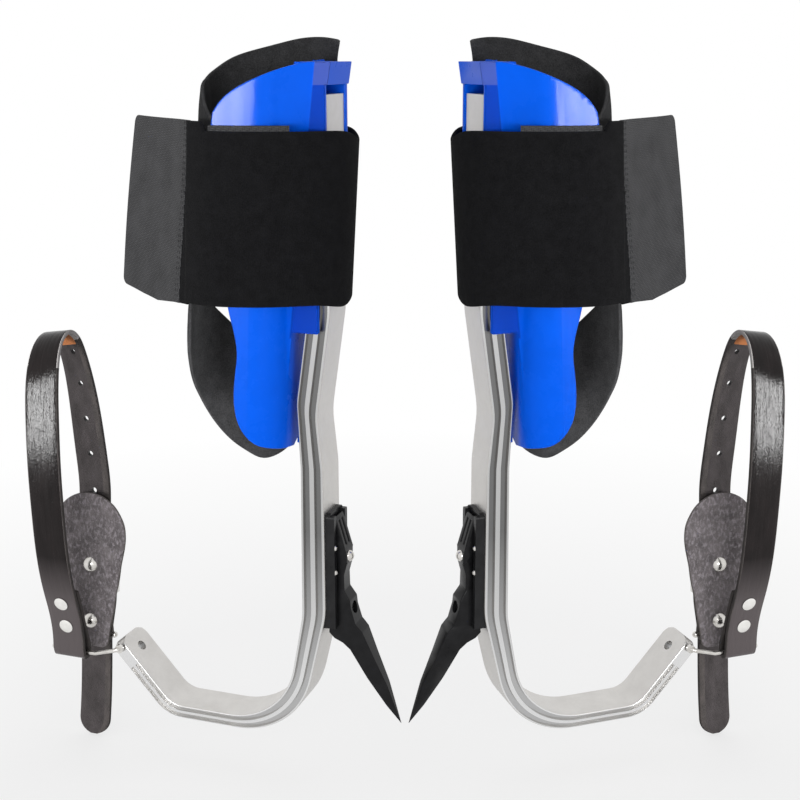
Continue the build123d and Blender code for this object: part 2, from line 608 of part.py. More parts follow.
def foot_strap():
    face = ribbon(strap_path(), LEATHER_T)
    strap = extrude(STRAP_PLANE * face, amount=STRAP_W / 2, both=True)
    tail = strap.edges().filter_by(lambda e: e.center().Z < -45 and abs(e.length - LEATHER_T) < 0.1)
    strap = fillet(tail.filter_by(lambda e: abs(abs(e.center().X - STRAP_X) - STRAP_W / 2) < 0.1), TAIL_R)
    for z in ADJUST_HOLES_Z:
        centre, across = back_strand(z)
        strap -= cylinder(centre - across * 4, across, ADJUST_HOLE_R, 8)
    for y, z, angle in FOLD_RIVETS.values():
        centre, out = fold_rivet_axis(y, z, angle)
        strap -= cylinder(centre - out * 8, out, FOLD_RIVET_R, 16)
    prong_hole = PRONG_BAR[1] - 0.8
    strap -= cylinder((STRAP_X, PRONG_BAR[0] + 4, prong_hole), (0, 1, 0), PRONG_HOLE_R, 10)
    return strap


def fold_rivet(y, z, angle):
    centre, out = fold_rivet_axis(y, z, angle)
    half = LAYER_PAIR_T / 2
    rivet = cylinder(centre - out * half, out, FOLD_RIVET_R, 2 * half)
    for side in (-1, 1):
        rivet += dome(centre + out * (side * half), out * side, FOLD_RIVET_HEAD_R, FOLD_RIVET_HEAD_H)
    return rivet


def buckle_strap():
    length = BUCKLE_LENGTH
    rings = []
    for offset in (LEATHER_T / 2, -LEATHER_T / 2):
        low = FOLD_MID_R + offset
        high = BAR_FOLD_R + offset
        layer = LAYER_OFFSET + offset
        side = [(low, -low), (low, PINCH_END), (layer, PINCH_S), (layer, length - PINCH_S),
                (high, length - PINCH_END), (high, length + high)]
        bends = [low, PINCH_R + offset, PINCH_R - offset, PINCH_R - offset, PINCH_R + offset, high]
        path = [(0, -low)] + side + [(-n, s) for n, s in reversed(side)] + [(0, -low)]
        rings.append(make_face(rounded_path(path, bends + bends[::-1])))
    band = extrude(BUCKLE_SIDE * (rings[0] - rings[1]), amount=STRAP_W / 2, both=True)
    slot = Location((0, length, 0)) * Box(PRONG_SLOT_W, 15, 20)
    band -= BUCKLE_PLANE * slot
    for s in PAD_RIVETS.values():
        band -= BUCKLE_PLANE * Location((0, s, 0)) * Cylinder(RIVET_SHANK_R, 40)
    return band


def ankle_pad():
    outline_face = Location((0, ANKLE_PAD_CENTRE)) * Circle(ANKLE_PAD_R)
    side = [(ANKLE_PAD_R - 0.3, ANKLE_PAD_CENTRE - 3), (ANKLE_PAD_FOOT_HALF, ANKLE_PAD_FOOT)]
    outline_face += make_face(Polyline(*side, *[(-x, s) for x, s in reversed(side)], close=True))
    outline_face = fillet(outline_face.vertices().sort_by(Axis.Y)[:2], 6)
    pad = extrude(BUCKLE_PLANE * Location((0, 0, ANKLE_PAD_BACK)) * outline_face, amount=ANKLE_PAD_T)
    for s in PAD_RIVETS.values():
        pad -= BUCKLE_PLANE * Location((0, s, 0)) * Cylinder(RIVET_SHANK_R, 40)
    return pad


def pad_rivet(s):
    front = ANKLE_PAD_BACK + ANKLE_PAD_T
    back = -LAYER_OFFSET - LEATHER_T / 2 - 0.35
    base = BUCKLE_PLANE.from_local_coords(Vector(0, s, back))
    stem = cylinder(base, BUCKLE_N, RIVET_SHANK_R, front - back)
    stem += cylinder(base, BUCKLE_N * -1, RIVET_BACK_R, RIVET_BACK_H)
    face = BUCKLE_PLANE.from_local_coords(Vector(0, s, front))
    return stem + dome(face, BUCKLE_N, RIVET_HEAD_R, RIVET_HEAD_H)


def buckle_frame():
    left = STRAP_X - FRAME_HALF_W
    right = STRAP_X + FRAME_HALF_W
    points = [(STRAP_X, *PRONG_BAR), (left, *PRONG_BAR), (left, *ROLLER_BAR), (right, *ROLLER_BAR),
              (right, *PRONG_BAR), (STRAP_X, *PRONG_BAR)]
    path = Wire(rounded_path(points, [2.6] * 4))
    return sweep(Plane(origin=path @ 0, z_dir=path % 0) * Circle(BUCKLE_WIRE_R), path=path)


def buckle_roller():
    start = (STRAP_X - ROLLER_HALF, *ROLLER_BAR)
    tube = cylinder(start, (1, 0, 0), ROLLER_R, 2 * ROLLER_HALF)
    return tube - cylinder(start, (1, 0, 0), BUCKLE_WIRE_R + RUNNING, 2 * ROLLER_HALF)


def buckle_prong():
    points = [(-2.6, BUCKLE_LENGTH), (-10.5, BUCKLE_LENGTH), (-9.5, BUCKLE_LENGTH + 27.5)]
    local = [BUCKLE_SIDE.from_local_coords(Vector(n, s, 0)) for n, s in points]
    path = Wire(rounded_path([tuple(p) for p in local], [3.0]))
    prong = sweep(Plane(origin=path @ 0, z_dir=path % 0) * Circle(PRONG_R), path=path)
    start = (STRAP_X - PRONG_EYE_W / 2, *PRONG_BAR)
    prong += cylinder(start, (1, 0, 0), PRONG_EYE_R, PRONG_EYE_W)
    prong += Location(local[-1]) * Sphere(PRONG_R)
    return prong - cylinder(start, (1, 0, 0), BUCKLE_WIRE_R + RUNNING, PRONG_EYE_W)


def strap_keeper():
    half = STRAP_W / 2 + AIR
    front = KEEPER_T / 2
    back = KEEPER_BACK - KEEPER_T
    outer = Location((0, (front + back) / 2)) * RectangleRounded(2 * (half + KEEPER_T), front - back, 1.0)
    depth = -KEEPER_BACK - KEEPER_T / 2
    inner = Location((0, KEEPER_BACK + depth / 2)) * Rectangle(2 * half, depth)
    base = BUCKLE_PLANE.from_local_coords(Vector(0, KEEPER_S - KEEPER_H / 2, 0))
    plane = Plane(origin=base, x_dir=(1, 0, 0), z_dir=BUCKLE_UP * -1)
    return extrude(plane * (outer - inner), amount=-KEEPER_H)


def climber():
    bar = shank()
    pieces = {"shank": bar, "gaff_base": gaff_base(bar), "gaff": gaff(), "gaff_upper_bolt": upper_bolt(),
              "gaff_lower_screw": lower_screw()}
    for name, z in BASE_SCREWS.items():
        pieces["base_screw_" + name] = base_screw(z)
    pieces["cuff_shell"] = cuff_shell()
    pieces["cuff_pad"] = cuff_pad()
    for name, (x, z) in CLAMP_SCREWS.items():
        pieces["clamp_screw_" + name] = clamp_screw(x, z)
    pieces["calf_band"] = calf_band()
    pieces["loop_panel"] = loop_panel()
    for name, z in BAND_RIVETS.items():
        pieces["band_rivet_" + name] = band_rivet(z)
    pieces["calf_flap"] = calf_flap()
    pieces["hook_panel"] = hook_panel()
    pieces["strap_hook"] = strap_hook()
    pieces["foot_strap"] = foot_strap()
    for name, (y, z, angle) in FOLD_RIVETS.items():
        pieces["strap_rivet_" + name] = fold_rivet(y, z, angle)
    pieces["buckle_strap"] = buckle_strap()
    pieces["ankle_pad"] = ankle_pad()
    for name, s in PAD_RIVETS.items():
        pieces["pad_rivet_" + name] = pad_rivet(s)
    pieces["buckle_frame"] = buckle_frame()
    pieces["buckle_roller"] = buckle_roller()
    pieces["buckle_prong"] = buckle_prong()
    pieces["strap_keeper"] = strap_keeper()
    return pieces


os.makedirs("parts", exist_ok=True)
stand = Location((*PAIR_OFFSET, 0), (0, 0, -YAW))
for name, piece in climber().items():
    left = stand * piece
    export_step(left, "parts/left_" + name + ".step")
    export_step(mirror(left, about=Plane.YZ), "parts/right_" + name + ".step")
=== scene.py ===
import json
import math

import bmesh
import bpy
import numpy as np
from mathutils import Matrix, Vector
from mathutils.bvhtree import BVHTree
from mathutils.geometry import delaunay_2d_cdt

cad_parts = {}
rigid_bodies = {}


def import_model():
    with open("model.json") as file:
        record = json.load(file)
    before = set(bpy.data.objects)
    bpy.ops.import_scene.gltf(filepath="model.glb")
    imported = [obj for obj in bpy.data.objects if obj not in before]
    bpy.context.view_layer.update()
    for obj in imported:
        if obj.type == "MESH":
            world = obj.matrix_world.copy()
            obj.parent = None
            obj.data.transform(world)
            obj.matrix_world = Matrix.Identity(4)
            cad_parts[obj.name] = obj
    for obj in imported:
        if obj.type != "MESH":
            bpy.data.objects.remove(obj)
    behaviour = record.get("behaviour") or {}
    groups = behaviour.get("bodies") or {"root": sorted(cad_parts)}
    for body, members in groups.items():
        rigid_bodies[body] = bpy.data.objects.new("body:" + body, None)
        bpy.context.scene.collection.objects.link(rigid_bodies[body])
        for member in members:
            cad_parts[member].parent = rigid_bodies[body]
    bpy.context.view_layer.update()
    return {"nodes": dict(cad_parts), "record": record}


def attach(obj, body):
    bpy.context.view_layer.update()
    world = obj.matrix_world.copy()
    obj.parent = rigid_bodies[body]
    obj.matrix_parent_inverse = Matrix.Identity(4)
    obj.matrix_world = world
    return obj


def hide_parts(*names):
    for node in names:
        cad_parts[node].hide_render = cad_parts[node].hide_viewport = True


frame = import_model()
nodes = frame["nodes"]
scene = bpy.context.scene
print("frame loaded:", len(nodes), "nodes")

# the pair: each climber is drawn in its own millimetres, turned, set off and mirrored
pair = {"yaw": math.radians(18.5), "offset": (-59.5, -25.4)}


def turned(direction):
    x, y, z = direction
    c, s = math.cos(pair["yaw"]), math.sin(pair["yaw"])
    return (x * c + y * s, -x * s + y * c, z)


def toWorld(point):  # in metres
    x, y, z = turned(point)
    return ((pair["offset"][0] + x) / 1000, (pair["offset"][1] + y) / 1000, z / 1000)


def smoothStep(low, high, value):
    t = min(1.0, max(0.0, (value - low) / (high - low)))
    return t * t * (3 - 2 * t)


def bell(value, run):
    return math.exp(-(value / run) ** 2)


def circlePoint(centre, radius, degrees):
    turn = math.radians(degrees)
    return (centre[0] + radius * math.cos(turn), centre[1] + radius * math.sin(turn))


def unit(rows):
    return rows / np.linalg.norm(rows, axis=1)[:, None]


def runAlong(points):  # the way from the first point to each
    return np.concatenate([[0.0], np.cumsum(np.linalg.norm(np.diff(points, axis=0), axis=1))])


def smoothLine(points, step):  # natural cubic through the points: even places, their directions and runs
    pts = np.array(points, float)
    t = runAlong(pts)
    h = np.diff(t)
    count = len(t)
    left, right = np.eye(count), np.zeros_like(pts)
    for i in range(1, count - 1):
        left[i, i - 1:i + 2] = h[i - 1], 2 * (h[i - 1] + h[i]), h[i]
        right[i] = 6 * ((pts[i + 1] - pts[i]) / h[i] - (pts[i] - pts[i - 1]) / h[i - 1])
    bend = np.linalg.solve(left, right)
    where = np.linspace(0, t[-1], max(2, int(round(t[-1] / step)) + 1))
    k = np.clip(np.searchsorted(t, where, side="right") - 1, 0, count - 2)
    a = ((t[k + 1] - where) / h[k])[:, None]
    b = 1 - a
    span = (h[k] ** 2)[:, None] / 6
    place = a * pts[k] + b * pts[k + 1] + ((a ** 3 - a) * bend[k] + (b ** 3 - b) * bend[k + 1]) * span
    return place, unit(np.gradient(place, axis=0)), runAlong(place)


def roundedProfile(low, high, inside, outside, radius, across, bend=3):  # section of a strip: (width, depth)
    r = min(radius, (outside - inside) / 2 * 0.98)
    step = (high - low - 2 * r) / across

    def arc(w, n, first, steps):
        return [circlePoint((w, n), r, first - 90 * i / bend) for i in steps]
    face = [(low + r + step * i, outside) for i in range(across + 1)]
    top = arc(high - r, outside - r, 90, range(1, bend + 1)) + arc(high - r, inside + r, 0, range(bend + 1))
    back = [(high - r - step * i, inside) for i in range(1, across + 1)]
    foot = arc(low + r, inside + r, 270, range(1, bend + 1)) + arc(low + r, outside - r, 180, range(bend))
    parts = ["face"] * len(face) + ["edge"] * len(top) + ["back"] * len(back) + ["edge"] * len(foot)
    return face + top + back + foot, parts


# mesh helpers
def addObject(name, data):
    obj = bpy.data.objects.new(name, data)
    scene.collection.objects.link(obj)
    return obj


def newPiece(name, vertices, faces, slots, flat, finishNames):  # flat: places on the cut cloth
    mesh = bpy.data.meshes.new(name)
    mesh.from_pydata([toWorld(p) for p in vertices], [], faces)
    mesh.polygons.foreach_set("material_index", slots)
    layer = mesh.uv_layers.new(name="weaveMap")
    for loop in mesh.loops:
        u, v = flat[loop.vertex_index]
        layer.data[loop.index].uv = (u / 1000, v / 1000)
    for finish in finishNames:
        mesh.materials.append(finishes[finish])
    bm = bmesh.new()
    bm.from_mesh(mesh)
    bmesh.ops.recalc_face_normals(bm, faces=bm.faces)
    bm.to_mesh(mesh)
    bm.free()
    return addObject(name, mesh)


def stripMesh(name, rings, flat, parts, partSlots, finishNames, closed=False):
    count, around = len(rings), len(rings[0])
    faces, slots = [], []
    for i in range(count if closed else count - 1):
        j = (i + 1) % count
        for k in range(around):
            m = (k + 1) % around
            faces.append((i * around + k, i * around + m, j * around + m, j * around + k))
            slots.append(partSlots.get(parts[k] if parts[k] == parts[m] else "edge", 0))
    if not closed:
        faces += [tuple(range(around)), tuple(range((count - 1) * around, count * around))]
        slots += [partSlots.get("edge", 0)] * 2
    vertices = [p for ring in rings for p in ring]
    piece = newPiece(name, vertices, faces, slots, [p for row in flat for p in row], finishNames)
    smoothShade(piece, 50)
    return piece


def evenLoop(points, step):  # even points along a closed outline
    pts = np.array(list(points) + [points[0]], float)
    run = runAlong(pts)
    where = np.linspace(0, run[-1], int(round(run[-1] / step)), endpoint=False)
    return np.stack([np.interp(where, run, pts[:, k]) for k in (0, 1)], 1)


def edgeDistance(points, rims):
    best = np.full(len(points), 1e9)
    for rim in rims:
        ends = np.roll(rim, -1, 0) - rim
        size = (ends ** 2).sum(1)
        for first in range(0, len(points), 1000):
            gap = points[first:first + 1000, None] - rim
            share = np.clip((gap * ends).sum(2) / size, 0, 1)[..., None]
            near = np.linalg.norm(gap - share * ends, axis=2).min(1)
            best[first:first + 1000] = np.minimum(best[first:first + 1000], near)
    return best


def insideRims(points, rims):
    inside = np.zeros(len(points), bool)
    px, py = points[:, :1], points[:, 1:]
    for rim in rims:
        ax, ay = rim.T
        bx, by = np.roll(rim, -1, 0).T
        slope = (bx - ax) / np.where(by == ay, 1e-9, by - ay)
        crossed = ((ay > py) != (by > py)) & (px < ax + slope * (py - ay))
        inside ^= crossed.sum(1) % 2 == 1
    return inside


def feltMesh(name, loops, place, settings, finishNames):  # a soft sheet cut to the loops, with a rounded rim
    step, rim = settings["step"], settings["rim"]
    rims = [evenLoop(loop, 0.6 * step) for loop in loops]
    low, high = rims[0].min(0), rims[0].max(0)
    rows = np.arange(low[1], high[1], step)
    spots = np.array([(x, y) for x in np.arange(low[0], high[0], step) for y in rows])
    spots = spots[edgeDistance(spots, rims) > rim + 0.4 * step]
    for edge in rims:
        along = unit(np.roll(edge, -1, 0) - np.roll(edge, 1, 0))
        across = np.stack([-along[:, 1], along[:, 0]], 1)
        for share in (0.08, 0.3, 0.62, 1.0):
            for side in (-1, 1):
                ring = edge + across * (side * share * rim)
                spots = np.concatenate([spots, ring[edgeDistance(ring, rims) > 0.93 * share * rim]])
    spots = spots[insideRims(spots, rims)]
    corners, bonds = [], []
    for edge in rims:
        first, count = len(corners), len(edge)
        corners += list(edge)
        bonds += [(first + k, first + (k + 1) % count) for k in range(count)]
    made = delaunay_2d_cdt([Vector(p) for p in corners + list(spots)], bonds, [], 0, 0.0001)
    flat = np.array([tuple(p) for p in made[0]])
    triangles = np.array(made[2])
    triangles = triangles[insideRims(flat[triangles].mean(1), rims)]
    depth = edgeDistance(flat, rims)
    swell = settings["crown"] * (1 - np.exp(-(depth / settings["crownRun"]) ** 2))
    half = (settings["thin"] + swell) * np.sqrt(1 - (1 - np.minimum(1.0, depth / rim)) ** 2)
    inner = np.flatnonzero(depth >= 0.001)  # both faces share the points on the rim
    lower = np.arange(len(flat))
    lower[inner] = len(flat) + np.arange(len(inner))
    vertices = [place(u, v, n) for (u, v), n in zip(flat, half)] + [place(*flat[k], -half[k]) for k in inner]
    faces = [tuple(t) for t in triangles] + [tuple(lower[t[::-1]]) for t in triangles]
    edged = [int(depth[t].mean() < 0.4 * rim) for t in triangles]
    piece = newPiece(name, vertices, faces, edged + edged, list(flat) + list(flat[inner]), finishNames)
    smoothShade(piece, 180)
    return piece


def smoothShade(obj, angle):
    mesh = obj.data
    mesh.polygons.foreach_set("use_smooth", [True] * len(mesh.polygons))
    mesh.set_sharp_from_angle(angle=math.radians(angle))


def applyModifiers(obj):
    bpy.context.view_layer.update()
    deps = bpy.context.evaluated_depsgraph_get()
    shown = obj.evaluated_get(deps)
    mesh = bpy.data.meshes.new_from_object(shown, preserve_all_data_layers=True, depsgraph=deps)
    obj.modifiers.clear()
    obj.data = mesh


def cutHoles(obj, rods, angle, box=None):  # a rod is (centre, direction, radius, half length)
    bm = bmesh.new()
    for centre, direction, radius, half in rods:
        axis = Vector(turned(direction)).normalized()
        turn = Vector((0, 0, 1)).rotation_difference(axis).to_matrix().to_4x4()
        bmesh.ops.create_cone(bm, cap_ends=True, segments=28, radius1=radius / 1000, radius2=radius / 1000,
                              depth=half / 500, matrix=Matrix.Translation(toWorld(centre)) @ turn)
    if box is not None:
        bmesh.ops.create_cube(bm, size=1.0, matrix=box)
    mesh = bpy.data.meshes.new("cutter")
    bm.to_mesh(mesh)
    bm.free()
    cutter = addObject("cutter", mesh)
    cut = obj.modifiers.new("holes", "BOOLEAN")
    cut.operation, cut.solver, cut.object = "DIFFERENCE", "EXACT", cutter
    applyModifiers(obj)
    bpy.data.objects.remove(cutter)
    smoothShade(obj, angle)


def pairUp(obj, body, stands=()):  # the left piece and its mirrored twin, each on its body
    name = obj.name
    twin = addObject(name, obj.data.copy())
    twin.data.transform(Matrix.Scale(-1, 4, (1, 0, 0)))
    twin.data.flip_normals()
    both = [(obj, "left_"), (twin, "right_")]
    for piece, word in both:
        piece.name = word + name
        piece.data.name = word + name
        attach(piece, word + body)
        if stands:
            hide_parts(*[word + s for s in stands])
    return both


# shader helpers
def feed(node, links):
    for socket, source in links.items():
        if isinstance(source, bpy.types.NodeSocket):
            node.id_data.links.new(source, node.inputs[socket])
        else:
            node.inputs[socket].default_value = source


def addNode(tree, kind, links=None, **settings):
    made = tree.nodes.new("ShaderNode" + kind)
    for key, value in settings.items():
        setattr(made, key, value)
    feed(made, links or {})
    return made


def nextNode(kind, links, **settings):  # a node in the tree of its sources
    tree = next(source.id_data for source in links.values() if isinstance(source, bpy.types.NodeSocket))
    return addNode(tree, kind, links, **settings)


def maths(operation, *values, clamp=False):
    return nextNode("Math", dict(enumerate(values)), operation=operation, use_clamp=clamp).outputs[0]


def times(first, second):
    return maths("MULTIPLY", first, second)


def scaled(value, by, plus):
    return maths("MULTIPLY_ADD", value, by, plus)


def between(value, low, high, lowest=0.0, highest=1.0):
    links = {"Value": value, "From Min": low, "From Max": high, "To Min": lowest, "To Max": highest}
    return nextNode("MapRange", links).outputs[0]


def mixColour(factor, first, second):
    return nextNode("Mix", {0: factor, 6: first, 7: second}, data_type="RGBA").outputs[2]


def mixShaders(factor, first, second):
    links = {0: factor, 1: first.outputs[0], 2: second.outputs[0]}
    return nextNode("MixShader", links).outputs[0]


def ramp(factor, low, dark, high, pale):
    made = nextNode("ValToRGB", {"Fac": factor})
    for element, place, colour in zip(made.color_ramp.elements, (low, high), (dark, pale)):
        element.position = place
        element.color = (*colour, 1)
    return made.outputs["Color"]


def noise(place, scale, detail, **more):
    links = {"Vector": place, "Scale": scale, "Detail": detail, **more}
    return nextNode("TexNoise", links).outputs["Fac"]


def stretched(place, by):
    return nextNode("VectorMath", {0: place, 1: by}, operation="MULTIPLY").outputs[0]


def split(vector):
    return nextNode("SeparateXYZ", {0: vector}).outputs


def objectPlace(tree):
    return addNode(tree, "TexCoord").outputs["Object"]


def weaveMap(tree):
    return addNode(tree, "UVMap", uv_map="weaveMap").outputs[0]


def ownPlace(at):  # ahead of the climber's own middle and across it, the same on both sides
    s, c = math.sin(pair["yaw"]), math.cos(pair["yaw"])
    inward = maths("SUBTRACT", -pair["offset"][0] / 1000, maths("ABSOLUTE", at["X"]))
    depth = maths("SUBTRACT", at["Y"], pair["offset"][1] / 1000)
    ahead = maths("SUBTRACT", times(inward, c), times(depth, s))
    return ahead, scaled(inward, s, times(depth, c))


def grey(value):
    return (value, value, value, 1)


def newGroup(name, inputs, outputs):  # the inputs come with their first values
    group = bpy.data.node_groups.new(name, "ShaderNodeTree")
    for label, value in inputs.items():
        kind = "NodeSocketFloat" if isinstance(value, float) else "NodeSocketVector"
        group.interface.new_socket(name=label, in_out="INPUT", socket_type=kind).default_value = value
    for label in outputs:
        group.interface.new_socket(name=label, in_out="OUTPUT", socket_type="NodeSocketFloat")
    return group, group.nodes.new("NodeGroupInput").outputs, group.nodes.new("NodeGroupOutput")


def useGroup(tree, group, **links):
    return addNode(tree, "Group", links, node_tree=group).outputs


def newMaterial(name, **plain):  # a Principled material with its plain values set on the sockets
    made = bpy.data.materials.new(name)
    made.use_nodes = True
    shader = made.node_tree.nodes["Principled BSDF"]
    feed(shader, {socket.replace("_", " "): value for socket, value in plain.items()})
    return made, made.node_tree, shader


def dress(shader, colour, rough, height, distance, strength=1.0):
    made = nextNode("Bump", {"Height": height, "Distance": distance, "Strength": strength})
    feed(shader, {"Base Color": colour, "Roughness": rough, "Normal": made.outputs["Normal"]})


# camera at the photograph's place
view = {"place": (0, -0.8754, 0.4709), "pitch": 15.13, "lens": 58.23, "shift": -0.00625}
cameraData = bpy.data.cameras.new("camera")
cameraData.lens = view["lens"]
cameraData.sensor_width = 36
cameraData.shift_x = view["shift"]
cameraData.clip_start = 0.05
camera = addObject("camera", cameraData)
camera.location = view["place"]
camera.rotation_euler = (math.radians(90 - view["pitch"]), 0, 0)
scene.camera = camera
scene.view_settings.view_transform = "Standard"

# studio: white backdrop for camera, glossy and transmission rays, soft boxes and a pale floor
# box: (name, place, aim, width, height, power)
# side box, kept to one climber and mirrored for the other: (name, aim, bearing, level, width, height, power,
# the pieces it lights, by its light, its gloss or both)
studio = {
    "ambient": 0.5, "floorLevel": -0.0522, "floorHalf": 6.0, "shadowShare": 0.3, "shadowFade": (0.3, 0.9),
    "boxes": [
        ("topBox", (0, 0.1, 1.8), (0, 0, 0.2), 1.4, 1.1, 4),
        ("backBox", (0, 1.7, 0.9), (0, 0, 0.25), 1.6, 0.8, 5),
        ("frontBox", (0, -1.7, 1.0), (0, 0, 0.2), 1.2, 0.5, 4)],
    "sideBoxes": [
        ("stripOne", (-0.1, -0.03), 8, 0.41, 0.33, 0.09, 3.2, "", "both"),
        ("stripTwo", (-0.1, -0.03), 27, 0.41, 0.33, 0.09, 3.2, "", "both"),
        ("shellOne", (-0.1, -0.03), 8, 0.41, 0.33, 0.1, 13.0, "cuff_shell", "gloss"),
        ("shellTwo", (-0.1, -0.03), 27, 0.41, 0.33, 0.1, 20.0, "cuff_shell", "gloss"),
        ("shellThree", (-0.1, -0.03), 56, 0.41, 0.66, 0.1, 38.0, "cuff_shell", "gloss"),
        ("fillBox", (-0.1, -0.03), -42, 0.2, 0.6, 0.5, 3.4, "cuff_shell", "light"),
        ("padBox", (-0.14, 0.0), -22, 0.06, 0.3, 0.2, 15.0, "calf_pad", "light"),
        ("strapBox", (-0.245, 0.05), 53, 0.19, 0.26, 0.4, 14.0, "foot_strap", "both")]}


def addBox(name, place, aim, width, height, power):
    lamp = bpy.data.lights.new(name, "AREA")
    lamp.shape, lamp.size, lamp.size_y, lamp.energy = "RECTANGLE", width, height, power
    obj = addObject(name, lamp)
    obj.location = place
    obj.rotation_euler = (Vector(aim) - Vector(place)).to_track_quat("-Z", "Y").to_euler()
    return obj


def seenBy(tree, first, *others):  # the kinds of ray
    path = addNode(tree, "LightPath").outputs
    seen = path[first]
    for kind in others:
        seen = maths("MAXIMUM", seen, path[kind])
    return seen


def makeBackdrop():
    world = bpy.data.worlds.new("studio")
    scene.world = world
    world.use_nodes = True
    tree = world.node_tree
    tree.nodes.clear()
    seen = seenBy(tree, "Is Camera Ray", "Is Glossy Ray", "Is Transmission Ray")
    dim = addNode(tree, "Background", {"Color": grey(1), "Strength": studio["ambient"]})
    white = addNode(tree, "Background", {"Color": grey(1), "Strength": 1.0})
    addNode(tree, "OutputWorld", {"Surface": mixShaders(seen, dim, white)})


def makeFloor():
    half, level = studio["floorHalf"], studio["floorLevel"]
    mesh = bpy.data.meshes.new("floor")
    corners = [(-half, -half, level), (half, -half, level), (half, half, level), (-half, half, level)]
    mesh.from_pydata(corners, [], [(0, 1, 2, 3)])
    addObject("floor", mesh)
    made, tree, shader = newMaterial("paleFloor", Base_Color=grey(0.9), Roughness=0.9, Specular_IOR_Level=0.0)
    glow = addNode(tree, "Emission", {"Color": grey(1), "Strength": 1.0})
    place = addNode(tree, "NewGeometry").outputs["Position"]
    far = nextNode("VectorMath", {0: place}, operation="LENGTH").outputs["Value"]
    far = between(far, *studio["shadowFade"], 1 - studio["shadowShare"], 1.0)
    share = times(seenBy(tree, "Is Camera Ray", "Is Glossy Ray"), far)
    feed(tree.nodes["Material Output"], {"Surface": mixShaders(share, shader, glow)})
    mesh.materials.append(made)


def lightSides():  # after the pieces are made, so that each box can be kept to its own climber
    for word, sign in (("left_", 1), ("right_", -1)):
        for name, (cx, cy), bearing, level, width, height, power, only, shines in studio["sideBoxes"]:
            lit = bpy.data.collections.new(word + name)
            for obj in list(scene.objects):
                if obj.name.startswith(word + only):
                    lit.objects.link(obj)
            turn = math.radians(bearing)
            place = (sign * (cx - math.sin(turn)), cy - math.cos(turn), level)
            box = addBox(word + name, place, (sign * cx, cy, level), width, height, power)
            box.light_linking.receiver_collection = lit
            box.visible_glossy, box.visible_diffuse = shines != "light", shines != "gloss"


makeBackdrop()
for box in studio["boxes"]:
    addBox(*box).visible_glossy = False
makeFloor()
print("studio and camera set")


# shared effects
def makeTwill():
    group, given, out = newGroup("twill", {"Map": (0, 0, 0), "Thread": 0.0008}, ["Height"])
    at = split(given["Map"])
    u, v = [maths("DIVIDE", at[way], given["Thread"]) for way in "XY"]
    cell = maths("ADD", maths("FLOOR", u), maths("FLOOR", v))
    over = maths("LESS_THAN", maths("FLOORED_MODULO", cell, 4.0), 1.5)
    waves = [maths("SINE", times(way, math.pi)) for way in (u, v)]
    warp, weft = [maths("ABSOLUTE", wave) for wave in waves]
    under = times(maths("SUBTRACT", 1.0, over), weft)
    height = maths("ADD", times(over, warp), times(under, 0.7))
    feed(out, {"Height": height})
    return group


def makeGrain():
    inputs = {"Scale": 900.0, "Stretch": (1, 1, 1)}
    group, given, out = newGroup("grain", inputs, ["Height", "Mottle", "Fine"])
    place = stretched(objectPlace(group), given["Stretch"])
    links = {"Vector": place, "Scale": given["Scale"]}
    cells = nextNode("TexVoronoi", links, feature="DISTANCE_TO_EDGE")
    mottle = noise(place, times(given["Scale"], 0.09), 4.0, Roughness=0.6)
    fine = noise(place, given["Scale"], 3.0)
    crease = maths("MULTIPLY", cells.outputs["Distance"], 3.0, clamp=True)
    height = maths("ADD", crease, times(fine, 0.6))
    feed(out, {"Height": height, "Mottle": mottle, "Fine": fine})
    return group


def makeScuff():
    group, given, out = newGroup("scuff", {"Scale": 40.0, "Amount": 0.5}, ["Edge", "Smudge", "Scratch"])
    place = objectPlace(group)
    smudge = noise(place, given["Scale"], 6.0, Roughness=0.65)
    edge = between(addNode(group, "NewGeometry").outputs["Pointiness"], 0.52, 0.62)
    edge = maths("MULTIPLY", times(edge, smudge), given["Amount"], clamp=True)
    scratch = noise(stretched(place, (1.0, 1.0, 0.06)), 900.0, 2.0)
    feed(out, {"Edge": edge, "Smudge": smudge, "Scratch": scratch})
    return group


def makeWrinkle():  # creases that run along the strap
    inputs = {"Map": (0, 0, 0), "Scale": 300.0, "Stretch": (1, 0.1, 1)}
    group, given, out = newGroup("wrinkle", inputs, ["Height"])
    place = stretched(given["Map"], given["Stretch"])
    height = noise(place, given["Scale"], 4.0, Roughness=0.55, Distortion=0.4)
    feed(out, {"Height": height})
    return group


twill = makeTwill()
grain = makeGrain()
scuff = makeScuff()
wrinkle = makeWrinkle()


# finishes, with the places where the bar and the sleeve change their look: painted shade in the bar's
# grooves, a painted reflection on its narrow faces, painted shade on the sleeve's near face and a painted
# highlight on the cap's front
barFaces = {"narrow": (0.75, 0.9), "grooveHalf": 0.0143, "heights": (0.04, 0.15)}
# where the sleeve's near face gets painted shade, and above which the cap's front gets a painted highlight
sleeveFace = {"lean": -0.117, "front": (-0.0444, -0.0438), "near": (-0.018, -0.0185), "foot": (0.287, 0.288),
              "cap": (0.4498, 0.4502)}


